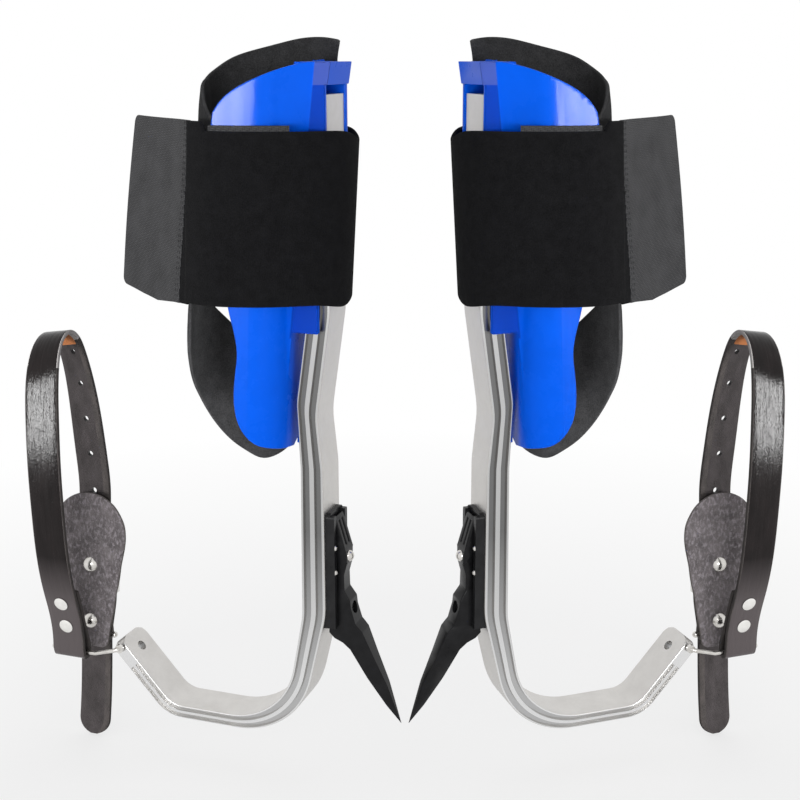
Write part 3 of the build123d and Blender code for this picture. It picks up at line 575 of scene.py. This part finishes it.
def makeAluminium():
    made, tree, shader = newMaterial("bareAluminium", Metallic=1.0)
    marks = useGroup(tree, scuff, Scale=55.0, Amount=0.6)
    place = addNode(tree, "TexCoord").outputs
    at, facing = split(place["Object"]), split(place["Normal"])
    side = times(maths("SIGN", at["X"]), -math.sin(pair["yaw"]))
    narrow = scaled(facing["Y"], math.cos(pair["yaw"]), times(facing["X"], side))
    narrow = between(maths("ABSOLUTE", narrow), *barFaces["narrow"])
    ahead, across = ownPlace(at)
    grooveShadeMask = maths("LESS_THAN", maths("ABSOLUTE", across), barFaces["grooveHalf"])
    shade = ramp(marks["Smudge"], 0.3, (0.58, 0.565, 0.545), 0.7, (0.68, 0.665, 0.645))
    # painted reflection: the narrow faces are paler low down and darker higher up
    shade = mixColour(narrow, shade, between(at["Z"], *barFaces["heights"], 0.78, 0.5))
    # painted shade in the grooves of the narrow faces, darker still higher up
    dark = between(at["Z"], *barFaces["heights"], 0.5, 0.17)
    shade = mixColour(times(grooveShadeMask, narrow), shade, dark)
    flat = scaled(marks["Smudge"], 0.2, 0.33)
    polish = scaled(marks["Scratch"], 0.08, 0.2)
    rough = nextNode("Mix", {0: narrow, 2: flat, 3: polish}, data_type="FLOAT").outputs[0]
    dress(shader, shade, rough, marks["Scratch"], 0.00002, 0.15)
    return made


def makeBlue():
    made, tree, shader = newMaterial("bluePlastic", Specular_IOR_Level=0.06)
    marks = useGroup(tree, scuff, Scale=26.0, Amount=0.4)
    tint = ramp(marks["Smudge"], 0.3, (0.0, 0.08, 0.61), 0.75, (0.0, 0.092, 0.69))
    # painted shade: a darker blue for the sleeve's near face
    sleeveShadeCapHighlight = ramp(marks["Smudge"], 0.3, (0.0, 0.036, 0.34), 0.75, (0.0, 0.042, 0.4))
    at = split(objectPlace(tree))
    ahead, across = ownPlace(at)
    ahead = between(scaled(at["Z"], sleeveFace["lean"], ahead), *sleeveFace["front"])
    above = between(at["Z"], *sleeveFace["foot"])
    sleeve = times(ahead, times(between(across, *sleeveFace["near"]), above))
    cap = between(at["Z"], *sleeveFace["cap"])  # painted highlight: the cap's front is paler
    sleeveShadeCapHighlight = mixColour(cap, sleeveShadeCapHighlight, (0.05, 0.088, 0.38, 1))
    # the sleeve's near face takes the painted shade, and is rougher too
    tint = mixColour(sleeve, tint, sleeveShadeCapHighlight)
    rough = scaled(sleeve, 0.8, scaled(marks["Smudge"], 0.05, 0.25))
    dress(shader, tint, rough, marks["Smudge"], 0.0003, 0.1)
    return made


def makeCloth(name, dark, pale, sheen, distance):
    made, tree, shader = newMaterial(name, Specular_IOR_Level=0.1, Sheen_Weight=sheen, Sheen_Roughness=0.5)
    cloth = useGroup(tree, twill, Map=weaveMap(tree), Thread=0.0011)
    skin = useGroup(tree, grain, Scale=700.0)
    tone = scaled(skin["Mottle"], 0.5, times(cloth["Height"], 0.6))
    height = scaled(skin["Fine"], 0.4, cloth["Height"])
    dress(shader, ramp(tone, 0.25, dark, 0.85, pale), 0.85, height, distance)
    return made


def makePile(name, dark, pale, scale, sheen, distance):
    made, tree, shader = newMaterial(name, Specular_IOR_Level=0.08, Sheen_Weight=sheen, Sheen_Roughness=0.4)
    skin = useGroup(tree, grain, Scale=scale)
    tone = scaled(skin["Fine"], 0.7, times(skin["Mottle"], 0.4))
    dress(shader, ramp(tone, 0.35, dark, 0.75, pale), 0.95, skin["Height"], distance)
    return made


def makeLeather(name, dark, pale, rough, distance, scale, creases=0.0, patch=None):
    made, tree, shader = newMaterial(name, Specular_IOR_Level=0.15)
    skin = useGroup(tree, grain, Scale=scale, Stretch=(1.0, 1.0, 0.45))
    tint = ramp(skin["Mottle"], 0.3, dark, 0.72, pale)
    height = skin["Height"]
    if creases:  # and paler low down: a painted sheen
        up = split(objectPlace(tree))["Z"]
        tint = mixColour(between(up, 0.115, 0.075), tint, (0.05, 0.043, 0.044, 1))
        height = scaled(useGroup(tree, wrinkle, Map=weaveMap(tree))["Height"], creases, height)
    if patch:  # raw leather where the black ends: its middle and half run along the strap, and its colour
        middle, half, colour = patch
        apart = maths("SUBTRACT", split(weaveMap(tree))["Y"], middle)
        raw = maths("LESS_THAN", maths("ABSOLUTE", apart), half)
        tint = mixColour(raw, tint, (*colour, 1))
    dress(shader, tint, scaled(skin["Mottle"], *rough), height, distance)
    return made


def makeSuede():
    made, tree, shader = newMaterial(
        "darkSuede", Specular_IOR_Level=0.2, Sheen_Weight=0.15, Sheen_Roughness=0.5)
    skin = useGroup(tree, grain, Scale=900.0)
    folds = useGroup(tree, wrinkle, Map=weaveMap(tree), Scale=420.0, Stretch=(1, 0.6, 1))["Height"]
    body = ramp(skin["Mottle"], 0.3, (0.1, 0.087, 0.09), 0.72, (0.25, 0.222, 0.23))
    tint = mixColour(between(folds, 0.48, 0.74), body, (0.42, 0.38, 0.41, 1))  # painted highlights: paler on the crinkles' ridges
    rough = scaled(skin["Mottle"], 0.3, 0.55)
    dress(shader, tint, rough, scaled(folds, 2.2, skin["Height"]), 0.0005)
    return made


def makeSteel(name, dark, pale, worn, metallic, shine, rough, distance, coarse):
    made, tree, shader = newMaterial(name, Metallic=metallic, Specular_IOR_Level=shine)
    marks = useGroup(tree, scuff, Scale=coarse, Amount=1.0)
    body = ramp(marks["Smudge"], 0.3, dark, 0.7, pale)
    tint = mixColour(marks["Edge"], body, (*worn, 1))
    dress(shader, tint, scaled(marks["Smudge"], *rough), marks["Smudge"], distance, 0.5)
    return made


finishes = {
    "bare_aluminium": makeAluminium(),
    "blue_plastic": makeBlue(),
    "black_foam": makePile("padCloth", (0.014, 0.014, 0.0145), (0.045, 0.045, 0.047), 1300.0, 0.02, 0.0002),
    "padEdge": makePile("padEdge", (0.02, 0.02, 0.021), (0.055, 0.055, 0.057), 1300.0, 0.03, 0.0001),
    "black_webbing": makeCloth("blackWebbing", (0.006, 0.006, 0.007), (0.024, 0.024, 0.026), 0.1, 0.0002),
    "grey_webbing": makeCloth("greyWebbing", (0.02, 0.02, 0.021), (0.085, 0.085, 0.089), 0.04, 0.0003),
    "loop_tape": makePile("loopPile", (0.004, 0.004, 0.0045), (0.014, 0.014, 0.0155), 1600.0, 0.015, 0.0003),
    "hook_tape": makePile("hookTape", (0.012, 0.012, 0.013), (0.05, 0.05, 0.053), 2200.0, 0.05, 0.0004),
    "black_leather": makeLeather(
        "leatherFace", (0.004, 0.003, 0.003), (0.008, 0.006, 0.006), (0.08, 0.1), 0.00003, 900.0, 12.0),
    "leatherEdge": makeLeather(
        "leatherEdge", (0.07, 0.062, 0.058), (0.16, 0.145, 0.14), (0.25, 0.6), 0.0002, 1500.0),
    "dark_suede": makeSuede(),
    "black_steel": makeSteel(
        "blackSteel", (0.004, 0.004, 0.0045), (0.011, 0.011, 0.012), (0.02, 0.02, 0.021), 0.0, 0.15,
        (0.15, 0.22), 0.0002, 90.0),
    "bright_steel": makeSteel(
        "brightSteel", (0.55, 0.53, 0.5), (0.75, 0.73, 0.7), (0.85, 0.84, 0.82), 1.0, 0.5,
        (0.16, 0.16), 0.00005, 120.0),
    "nickel": makeSteel(
        "nickel", (0.82, 0.81, 0.78), (0.92, 0.91, 0.88), (0.95, 0.94, 0.92), 1.0, 0.5,
        (0.1, 0.3), 0.00003, 120.0),
}
for row in frame["record"]["subparts"]:
    mesh = nodes[row["node"]].data
    mesh.materials.clear()
    mesh.materials.append(finishes["nickel" if "strap_rivet" in row["node"] else row["material_slot"]])
print("finishes made:", len(finishes))


# hard pieces with broken edges; hem is how far the front of the cuff's lower hem lies below the solid's
shellShape = {"width": 0.8, "angle": 28, "shortest": 0.6, "fade": (-100, -50), "hem": 9.5}
gaffShape = {"width": 0.7, "angle": 18, "shortest": 1.0, "fade": (0, 70), "hem": 0}
hemPlace = {"front": -25, "above": 224, "below": 245, "from": -95, "run": 28}


def lowerHem(bm, hem):
    for vertex in bm.verts:
        x, y, z = 1000 * vertex.co
        if y < hemPlace["front"] and z < hemPlace["below"]:
            drop = hem * min(1.0, max(0.0, (x - hemPlace["from"]) / hemPlace["run"])) ** 2
            vertex.co.z -= drop * smoothStep(-hemPlace["below"], -hemPlace["above"], -z) / 1000


def softCopy(name, settings):  # the solid's own shape with its sharp edges broken
    obj = addObject(name + "_shape", nodes["left_" + name].data.copy())
    bm = bmesh.new()
    bm.from_mesh(obj.data)
    bmesh.ops.remove_doubles(bm, verts=bm.verts, dist=0.00002)
    if settings["hem"]:
        lowerHem(bm, settings["hem"])
    solid = BVHTree.FromBMesh(bm)
    weight = bm.edges.layers.float.new("bevel_weight_edge")
    for edge in bm.edges:
        if len(edge.link_faces) == 2 and edge.calc_length() > settings["shortest"] / 1000:
            if edge.calc_face_angle() > math.radians(settings["angle"]):
                z = 500 * (edge.verts[0].co.z + edge.verts[1].co.z)
                edge[weight] = max(0.05, smoothStep(*settings["fade"], z))
    bm.to_mesh(obj.data)
    bm.free()
    if "custom_normal" in obj.data.attributes:
        obj.data.attributes.remove(obj.data.attributes["custom_normal"])
    cut = obj.modifiers.new("soften", "BEVEL")
    cut.limit_method, cut.segments, cut.use_clamp_overlap = "WEIGHT", 3, False
    cut.width = settings["width"] / 1000
    applyModifiers(obj)
    for vertex in obj.data.vertices:  # no corner of a broken edge stands off the solid
        near, normal, face, gap = solid.find_nearest(vertex.co)
        if gap > settings["width"] / 1000:
            vertex.co = near
    smoothShade(obj, 38)
    even = obj.modifiers.new("even", "WEIGHTED_NORMAL")
    even.keep_sharp = True
    applyModifiers(obj)
    return obj


for name, body, slot, settings in (("cuff_shell", "cuff", "blue_plastic", shellShape),
                                   ("gaff", "frame", "black_steel", gaffShape)):
    pairUp(softCopy(name, settings), body, (name,))
print("cuffs and gaffs made")


# calf strap: band with its pile, an inner layer above it, and the free flap
# dip, where the band is narrower: top down, bottom up, how far before the front, over what run
# rise, beside the seam: how much, from how far off, within what run
# corner, where it turns: how much lower, over what run
band = {
    "legX": -42.26, "radius": 50.5, "lean": 0.06, "middle": 369.0, "step": 2.0,
    "farAngles": [112.3, 90, 70], "nearAngles": [-70, -90, -106, -120.3],
    "loop": [(-4, 41), (11.5, 30), (20.5, 17), (23.6, 3), (22.2, -11), (13.8, -25), (-3, -38.6)],
    "bottom": 312.5, "top": 422.5, "dip": (7.0, 2.0, 14.0, 17.0), "rise": (6.0, 15.5, 2.5),
    "corner": (5.2, 19.0), "inside": 0.7, "web": 2.4, "pile": 4.6, "pileRun": 40.0, "edge": 2.2,
    "hemRun": 3.0, "hemShare": 0.45}


def onLeg(angle):
    return circlePoint((band["legX"], 0), band["radius"], angle)


def bandPath():
    far, near = [[onLeg(a) for a in band[word]] for word in ("farAngles", "nearAngles")]
    return far + band["loop"] + near


def bandLean(z):
    return band["lean"] * (z - band["middle"])


def bandRing(place, along, profile):
    return [(place[0] - along[1] * n + bandLean(z), place[1] + along[0] * n, z) for z, n in profile]


def makeBand():
    place, along, run = smoothLine(bandPath(), band["step"])
    front, total = run[np.argmax(place[:, 0])], run[-1]
    down, up, before, dipRun = band["dip"]
    rise, begin, within = band["rise"]
    drop, dropRun = band["corner"]
    inside, web = band["inside"], band["web"]
    rings, flat = [], []
    for p, t, s in zip(place, along, run):
        dip = bell(s - front + before, dipRun)
        low = band["bottom"] + up * dip - drop * bell(s - front, dropRun)
        high = band["top"] - down * dip + rise * smoothStep(-begin, within - begin, s - total)
        outside = web + (band["pile"] - web) * smoothStep(front, front + band["pileRun"], s)
        hem = min(1.0, min(s, total - s) / band["hemRun"] + band["hemShare"])  # soft at both ends
        middle, half = (inside + outside) / 2, (outside - inside) / 2 * hem
        profile, parts = roundedProfile(low, high, middle - half, middle + half, band["edge"], 14, 4)
        rings.append(bandRing(p, t, profile))
        flat.append([(z, s) for z, n in profile])
    outer = {"face": 1, "edge": 1}
    cloth = stripMesh("calf_strap", rings, flat, parts, outer, ("black_webbing", "loop_tape"))
    for piece, word in pairUp(cloth, "cuff", ("calf_band", "loop_panel")):
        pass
    return total


lining = {"top": 426.0, "bottom": 330.0, "inside": -0.7, "outside": 0.45, "edge": 0.5, "ends": -103}


def makeLining():
    place, along, run = smoothLine(bandPath(), band["step"])
    first, last = [np.argmin(np.linalg.norm(place - spot, axis=1))
                   for spot in (band["loop"][-1], onLeg(lining["ends"]))]
    profile, parts = roundedProfile(lining["bottom"], lining["top"], lining["inside"], lining["outside"],
                                    lining["edge"], 6)
    stops = range(first, last + 1)
    rings = [bandRing(place[k], along[k], profile) for k in stops]
    flat = [[(z, run[k] - run[first]) for z, n in profile] for k in stops]
    cloth = stripMesh("strap_lining", rings, flat, parts, {}, ("grey_webbing",))
    for piece, word in pairUp(cloth, "cuff"):
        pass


# foot and head: a height and the flap's angle there; sway: size, run along, run up, run from the seam
flap = {
    "length": 86.0, "foot": (313.0, 148.0), "head": (428.0, 142.0), "top": 428.5, "corner": 4.0, "seam": 1.3,
    "hem": 5.0, "hemHeights": (300, 440), "slant": 9.0, "ridge": 0.7, "sway": (1.2, 17.0, 40.0, 20.0),
    "bottom": [(0, 310.5), (13, 310.3), (40, 307.6), (60, 309.5), (86, 313.5)],
    "fine": 18, "rings": (46, 34, 8), "columns": 40, "ridgeRamp": (-0.6, 0.4), "pileGap": 0.3,
    "inside": -1.0, "outside": 1.2, "edge": 0.9}
stitch = {
    "rows": (1.2, 3.8), "pitch": 3.6, "length": 2.7, "radius": 0.35, "from": 314.0, "to": 426.0,
    "arc": 0.35, "sunk": 0.25}


def flapPoint(s, z, n):  # s from the seam, n out of the cloth
    x, y = onLeg(band["nearAngles"][-1])
    last = math.radians(band["nearAngles"][-1])
    (low, first), (high, final) = flap["foot"], flap["head"]
    turn = math.radians(first + (final - first) * (z - low) / (high - low))
    size, along, up, begin = flap["sway"]
    n += size * math.sin(s / along + z / up) * min(1.0, s / begin)
    x += flap["seam"] * math.sin(last) + math.cos(turn) * s - math.sin(turn) * n + bandLean(z)
    y += -flap["seam"] * math.cos(last) + math.sin(turn) * s + math.cos(turn) * n
    return (x, y, z)


def hemStart(z):  # the hem runs slanted, further from the seam below
    return flap["slant"] * (1 - smoothStep(*flap["hemHeights"], z))


def cornerTrim(left, radius):
    return radius - math.sqrt(max(0.0, radius ** 2 - max(0.0, radius - left) ** 2))


def makeFlap():
    lows = np.array(flap["bottom"], float).T
    length, corner, fine = flap["length"], flap["corner"], flap["fine"]
    near, far, last = flap["rings"]  # closer together at the hem and round the corner
    square, curl = length - corner, corner * np.sin(np.linspace(0.2, math.pi / 2, last))
    stops = [np.linspace(0, fine, near), np.linspace(fine + 1, square, far), square + curl]
    rings, flat = [], []
    for s in np.concatenate(stops):
        trim = cornerTrim(length - s, corner)
        profile, parts = roundedProfile(np.interp(s, *lows) + trim, flap["top"] - trim,
                                        flap["inside"], flap["outside"], flap["edge"], flap["columns"])
        ring = []
        for z, n in profile:
            past = s - hemStart(z)
            ridge = flap["ridge"] * smoothStep(*flap["ridgeRamp"], min(past, flap["hem"] - past))
            ring.append(flapPoint(s, z, n + ridge if n > 0 else n))
        rings.append(ring)
        flat.append([(z, s) for z, n in profile])
    looks = ("grey_webbing", "hook_tape", "loop_tape")
    cloth = stripMesh("calf_flap_cloth", rings, flat, parts, {"back": 1}, looks)
    spots = cloth.data.uv_layers["weaveMap"].data
    for face in cloth.data.polygons:  # the pile goes on to the hem
        z, s = 1000 * sum((spots[k].uv for k in face.loop_indices), Vector((0, 0))) / len(face.loop_indices)
        if face.material_index == 0 and s < hemStart(z) - flap["pileGap"]:
            face.material_index = 2
    for piece, word in pairUp(cloth, "flap", ("calf_flap", "hook_panel")):
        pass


def makeStitches():
    vertices, faces, flat = [], [], []
    sides, rings = 6, 6
    for s in stitch["rows"]:
        z = stitch["from"]
        while z < stitch["to"]:
            first = len(vertices)
            for i in range(rings):
                high = z + i / (rings - 1) * stitch["length"]
                arc = math.sin(math.pi * i / (rings - 1))
                out = flap["outside"] + flap["ridge"] + stitch["arc"] * arc - stitch["sunk"]
                size = stitch["radius"] * (0.5 + 0.5 * arc)
                for k in range(sides):
                    run, n = circlePoint((hemStart(high) + s, out), size, 360 * k / sides)
                    vertices.append(flapPoint(run, high, n))
                    flat.append((s, z))
            for a in range(first, first + sides * (rings - 1), sides):
                for k in range(sides):
                    m = (k + 1) % sides
                    faces.append((a + k, a + m, a + sides + m, a + sides + k))
            faces += [tuple(range(first, first + sides)), tuple(range(len(vertices) - sides, len(vertices)))]
            z += stitch["pitch"]
    thread = newPiece("flap_stitches", vertices, faces, [0] * len(faces), flat, ("padEdge",))
    smoothShade(thread, 60)
    pairUp(thread, "flap")


bandLength = makeBand()
makeLining()
makeFlap()
makeStitches()
print("calf straps made, band", round(bandLength), "mm")


# cuff pad: one soft sheet round the calf, cut to its outline; above the cuff its far top stands straight off
# a place on it is (millimetres from the middle of its front, height)
# draw, under and above the strap: how far in, from height, to height
pad = {
    "legX": -44.0, "lean": 0.06, "middle": 340.0, "radius": 42.2, "flat": 29.4, "corner": 23.7, "half": 17.6,
    "turn": math.radians(72.06), "step": 4.0, "rim": 1.8, "thin": 1.4, "crown": 1.2, "crownRun": 9.0,
    "flare": 53.7, "flareWay": (0.985, -0.17), "flareHeights": (459.5, 463), "flareRun": (-5, 18),
    "draw": [(3.4, 306, 321), (3.1, 380, 402)], "drawAngles": (150, 190), "outlineStep": 1.5}


def padRun(angle):
    bent = pad["corner"] * pad["turn"]
    return pad["half"] + bent + pad["radius"] * (math.radians(angle) - pad["turn"])


def leg(angle, height):  # a place on the pad by the angle on the leg
    return (padRun(angle), height)


padRuns = [
    [(-62.5, 431), (-60, 438), (-52, 446), (-43.7, 451.5), (-16, 459), (0, 461), (14, 462.3), (20, 463)],
    [(20, 463), (19.5, 470), (18.2, 477.5)],
    [(18.2, 477.5), (30, 479.2), (38.4, 479.4), (52, 478.2), leg(103.5, 474.1), leg(120, 471),
     leg(135.7, 467.4), leg(145, 464.3), leg(156.7, 459.6), leg(174, 455.4), leg(190, 452.7),
     leg(206, 448.5), leg(222, 440), leg(240, 430), leg(255, 421.5)],
    [leg(255, 421.5), leg(254, 412), leg(238, 402), leg(215, 396), leg(204, 383), leg(201, 350),
     leg(196, 322), leg(198, 310), leg(205, 300), leg(210, 290), leg(210, 280), leg(206, 273),
     leg(200, 266.5), leg(187, 250), leg(174, 236.2), leg(160, 221.2), leg(141, 202.5), leg(130, 194),
     leg(115, 185.5), leg(101, 181), leg(86, 184.5), (47, 193), (38, 203), (28, 212.5), (16, 217),
     (0, 217.5), (-19, 217.5), (-34, 221), (-42, 228.5), (-46, 239), (-48, 250), (-48, 281), (-50, 296),
     (-55, 325), (-60, 370), (-63.5, 415), (-62.5, 431)]]
padSlot = [leg(*spot) for spot in (
    (166, 306), (157, 299.5), (147, 292.5), (138, 286), (128, 281), (120, 283), (116, 291), (115, 316),
    (120, 322), (140, 324), (160, 322), (166, 316), (166, 306))]


def padOutline(stops):
    return [tuple(p) for p in smoothLine(stops, pad["outlineStep"])[0][:-1]]


def padPlan(s):  # place and direction outward at a run from the middle of the front
    a, half, corner = abs(s), pad["half"], pad["corner"]
    if a < half:
        t, x, y = 0.0, pad["flat"], a
    elif a < half + corner * pad["turn"]:
        t = (a - half) / corner
        x, y = pad["flat"] - corner * (1 - math.cos(t)), half + corner * math.sin(t)
    else:
        t = pad["turn"] + (a - half - corner * pad["turn"]) / pad["radius"]
        x, y = pad["radius"] * math.cos(t), pad["radius"] * math.sin(t)
    side = math.copysign(1, s)
    return np.array((x, side * y, math.cos(t), side * math.sin(t)))


def padPlace(s, z, n):
    plan = padPlan(s)
    past = pad["flare"] - s
    if past > 0 and s > pad["flareRun"][0]:
        off = padPlan(pad["flare"]) + past * np.array((*pad["flareWay"], 0, 0))
        share = smoothStep(*pad["flareHeights"], z) * smoothStep(*pad["flareRun"], s)
        plan = plan * (1 - share) + off * share
    draw = sum(depth * smoothStep(low, high, z) for depth, low, high in pad["draw"])
    n -= draw * smoothStep(*[padRun(a) for a in pad["drawAngles"]], s)
    lean = pad["lean"] * (z - pad["middle"])
    return (pad["legX"] + lean + plan[0] + plan[2] * n, plan[1] + plan[3] * n, z)


def makePad():
    outline = [p for stops in padRuns for p in padOutline(stops)]
    felt = feltMesh("calf_pad", [outline, padOutline(padSlot)], padPlace, pad, ("black_foam", "padEdge"))
    for piece, word in pairUp(felt, "cuff", ("cuff_pad",)):
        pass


makePad()
print("pads made")


# foot strap: one long leather strap, folded on the hook, looped and tucked through the buckle
# its line is drawn as (depth, height), and near its crown it turns and tilts; a rod is (radius, half length)
strap = {
    "x": -195.5, "width": 26.5, "thick": 3.0, "edge": 0.9, "step": 1.5, "fold": (-19.0, 34.0, 3.6),
    "inner": [(-26.6, 86), (-22.9, 72), (-19.7, 57), (-16.6, 45)],
    "front": [(-22.7, 43), (-23.3, 55), (-26.2, 70), (-30.4, 86), (-33.7, 102), (-35.9, 120), (-37.2, 147),
              (-37.5, 183), (-35.6, 218), (-31, 249), (-26.3, 261.5), (-17, 272.5), (-6, 275.5)],
    "back": [(4.5, 269.5), (10.8, 258), (16.2, 239), (20.8, 209), (24.2, 176), (25.8, 146), (24.7, 128),
             (27.6, 114), (28.9, 104), (28.3, 88), (26, 68), (22.6, 48), (21.2, 34), (18.8, 11),
             (13.6, -25), (8.0, -51)],
    "tailRadius": 12.6, "tailEnd": 0.3, "tailShift": -3.6, "tailHeights": (25, 60),
    "holes": [259, 233, 205, 177, 147, 75], "holeRod": (2.2, 4.0),
    "rivets": [(-26.1, 76.5, 15.0), (-21.6, 56.5, 9.5)], "rivetRod": (2.25, 8.0),
    "prong": (29.0, 103.2), "prongRod": (2.5, 5.0), "raw": (0.34, 0.125, 0.045), "rawLow": 265.0,
    "cut": (0.3, 0.285, 0.28), "cutBefore": 8.0, "cutHalf": 23.0,
    "crown": {"after": 12.0, "before": 38.0, "past": 60.0, "spin": -0.3, "roll": 0.19, "shift": -1.8}}


def footPath():
    y, z, r = strap["fold"]
    fold = [circlePoint((y, z), r, a) for a in (0, -45, -90, -135, -180)]
    return strap["inner"] + fold + strap["front"] + strap["back"]


def footRods(place, along):  # the adjusting holes behind the crown, the rivet holes and the hole on the prong
    x, rods = strap["x"], []
    for z in strap["holes"]:
        k = np.argmin(np.abs(place[:, 1] - z))
        rods.append(((x, *place[k]), (0, -along[k][1], along[k][0]), *strap["holeRod"]))
    for y, z, angle in strap["rivets"]:
        rods.append(((x, y, z), (0, *circlePoint((0, 0), 1, angle)), *strap["rivetRod"]))
    return rods + [((x, *strap["prong"]), (0, 1, 0), *strap["prongRod"])]


def makeFootStrap():
    place, along, run = smoothLine(footPath(), strap["step"])
    half, thick, total = strap["width"] / 2, strap["thick"] / 2, run[-1]
    top = np.argmax(place[:, 1])
    crown = strap["crown"]
    rings, flat = [], []
    for k, (p, t, s) in enumerate(zip(place, along, run)):
        wide = half - cornerTrim(max(strap["tailEnd"], total - s), strap["tailRadius"])
        profile, parts = roundedProfile(-wide, wide, -thick, thick, strap["edge"], 6)
        past = s - run[top] - crown["after"]
        share = bell(past, crown["past"] if past > 0 else crown["before"])
        spin, roll, x = crown["spin"] * share, crown["roll"] * share, strap["x"] + crown["shift"] * share
        if k > top:
            x += strap["tailShift"] * (1 - smoothStep(*strap["tailHeights"], p[1]))
        c, d = math.cos(spin), math.sin(spin)
        rings.append([(x + w * c, p[0] + w * d - t[1] * n, p[1] + w * roll + t[0] * n) for w, n in profile])
        flat.append([(w, s) for w, n in profile])
    rawEnd = run[top + np.argmin(np.abs(place[top:, 1] - strap["rawLow"]))]
    cut = ((run[top] - strap["cutBefore"]) / 1000, strap["cutHalf"] / 1000, strap["cut"])
    raw = ((run[top] + rawEnd) / 2000, (rawEnd - run[top]) / 2000, strap["raw"])
    finishes["strapEdge"] = makeLeather(
        "strapEdge", (0.03, 0.027, 0.026), (0.06, 0.052, 0.05), (0.25, 0.6), 0.0002, 1500.0, patch=cut)
    finishes["strapInside"] = makeLeather(
        "strapInside", (0.021, 0.018, 0.018), (0.047, 0.041, 0.042), (0.25, 0.62), 0.0002, 1200.0, patch=raw)
    looks = ("black_leather", "strapEdge", "strapInside")
    leather = stripMesh("foot_strap_leather", rings, flat, parts, {"edge": 1, "back": 2}, looks)
    cutHoles(leather, footRods(place[top:], along[top:]), 40)
    pairUp(leather, "strap", ("foot_strap",))
    return total


strapLength = makeFootStrap()
print("foot straps made,", round(strapLength), "mm")


# the short strap with its buckle: a leather loop on the hook, with the suede pad in front
# fold: the loop's radius at the hook and at the buckle
# ends: how far off the straight layers stop, the fold begins, and how much closer in it is there
# the pad's curl, cup and crinkles bend it off the loop
buckle = {
    "foot": (14.0, 34.0), "head": (21.8, 104.0), "layer": 2.35, "fold": (3.6, 3.8), "step": 1.2,
    "frontStops": (12, 20, 50), "backStops": (35, 8), "ends": (7.5, 2.0, 0.2),
    "slot": (5.2, 16.0, 15.0), "rivets": (56.3, 11.5), "rivetRod": (2.05, 9.0)}
anklePad = {
    "radius": 31.0, "middle": 81.8, "foot": (15.6, -9.0), "corner": 6.0, "centre": 7.25, "rodCentre": 6.0,
    "curl": 0.9, "curlRun": (60, 113), "cup": 0.5, "cupWidth": 29.0, "cupRun": (20, 70),
    "crinkles": [(0.22, 0.33, 0.19, 0.0), (0.18, 0.21, -0.31, 1.3)],
    "step": 3.0, "rim": 1.3, "thin": 1.35, "crown": 0.15, "crownRun": 8.0}


def buckleAxes():  # up the loop, out of it, and its length
    rise = np.subtract(buckle["head"], buckle["foot"])
    long = math.hypot(*rise)
    a, b = rise / long
    return (0, a, b), (0, -b, a), long


def bucklePoint(w, s, n):  # across the loop, up it and out of it
    up, out, long = buckleAxes()
    y, z = buckle["foot"]
    return (strap["x"] + w, y + up[1] * s + out[1] * n, z + up[2] * s + out[2] * n)


def buckleRods(n):
    out = buckleAxes()[1]
    return [(bucklePoint(0, s, n), out, *buckle["rivetRod"]) for s in buckle["rivets"]]


def makeBuckleStrap():
    up, out, long = buckleAxes()
    layer, (low, high) = buckle["layer"], buckle["fold"]
    over = [circlePoint((0, long), high, a) for a in range(30, 180, 30)]  # the line is drawn as (out, up)
    under = [circlePoint((0, 0), low, a) for a in range(210, 360, 30)]
    stop, begin, closer = buckle["ends"]
    front = [(layer, s) for s in (*buckle["frontStops"], long - stop)]
    back = [(-layer, s) for s in (long - stop, *buckle["backStops"])]
    stops = front + [(high - closer, long - begin)] + over + [(closer - high, long - begin)] + back
    stops += [(closer - low, begin)] + under + [(low - closer, begin)]
    stops += [(layer, buckle["backStops"][-1]), front[0]]
    place = smoothLine(stops, buckle["step"])[0][:-1]
    along = unit(np.roll(place, -1, 0) - np.roll(place, 1, 0))
    run = np.cumsum(np.linalg.norm(place - np.roll(place, 1, 0), axis=1))
    half, thick = strap["width"] / 2, strap["thick"] / 2
    profile, parts = roundedProfile(-half, half, -thick, thick, strap["edge"], 6)
    rings = [[bucklePoint(w, p[1] - t[0] * n, p[0] + t[1] * n) for w, n in profile]
             for p, t in zip(place, along)]
    flat = [[(w, s) for w, n in profile] for s in run]
    looks = ("black_leather", "leatherEdge")
    leather = stripMesh("buckle_loop_leather", rings, flat, parts, {"edge": 1}, looks, closed=True)
    axes = Matrix((turned((1, 0, 0)), turned(out), turned(up))).transposed().to_4x4()
    size = Matrix.Diagonal((*[side / 1000 for side in buckle["slot"]], 1))
    cutHoles(leather, buckleRods(0), 40, Matrix.Translation(toWorld(bucklePoint(0, long, 0))) @ axes @ size)
    pairUp(leather, "strap", ("buckle_strap",))
    return run[-1]


def anklePlace(w, s, n):
    n += anklePad["centre"] + anklePad["curl"] * smoothStep(*anklePad["curlRun"], s)
    n += anklePad["cup"] * (w / anklePad["cupWidth"]) ** 2 * smoothStep(*anklePad["cupRun"], s)
    n += sum(size * math.sin(across * w + up * s + late) for size, across, up, late in anklePad["crinkles"])
    return bucklePoint(w, s, n)


def makeAnklePad():
    (x, low), r = anklePad["foot"], anklePad["corner"]
    outline = [circlePoint((0, anklePad["middle"]), anklePad["radius"], a) for a in range(-8, 189, 4)]
    outline += [circlePoint((r - x, low + r), r, a) for a in range(190, 271, 10)]
    outline += [circlePoint((x - r, low + r), r, a) for a in range(270, 351, 10)]
    felt = feltMesh("ankle_pad_suede", [outline], anklePlace, anklePad, ("dark_suede", "leatherEdge"))
    cutHoles(felt, buckleRods(anklePad["rodCentre"]), 60)
    for piece, word in pairUp(felt, "strap", ("ankle_pad",)):
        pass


buckleLength = makeBuckleStrap()
makeAnklePad()
print("buckle straps made, loop", round(buckleLength), "mm")

lightSides()
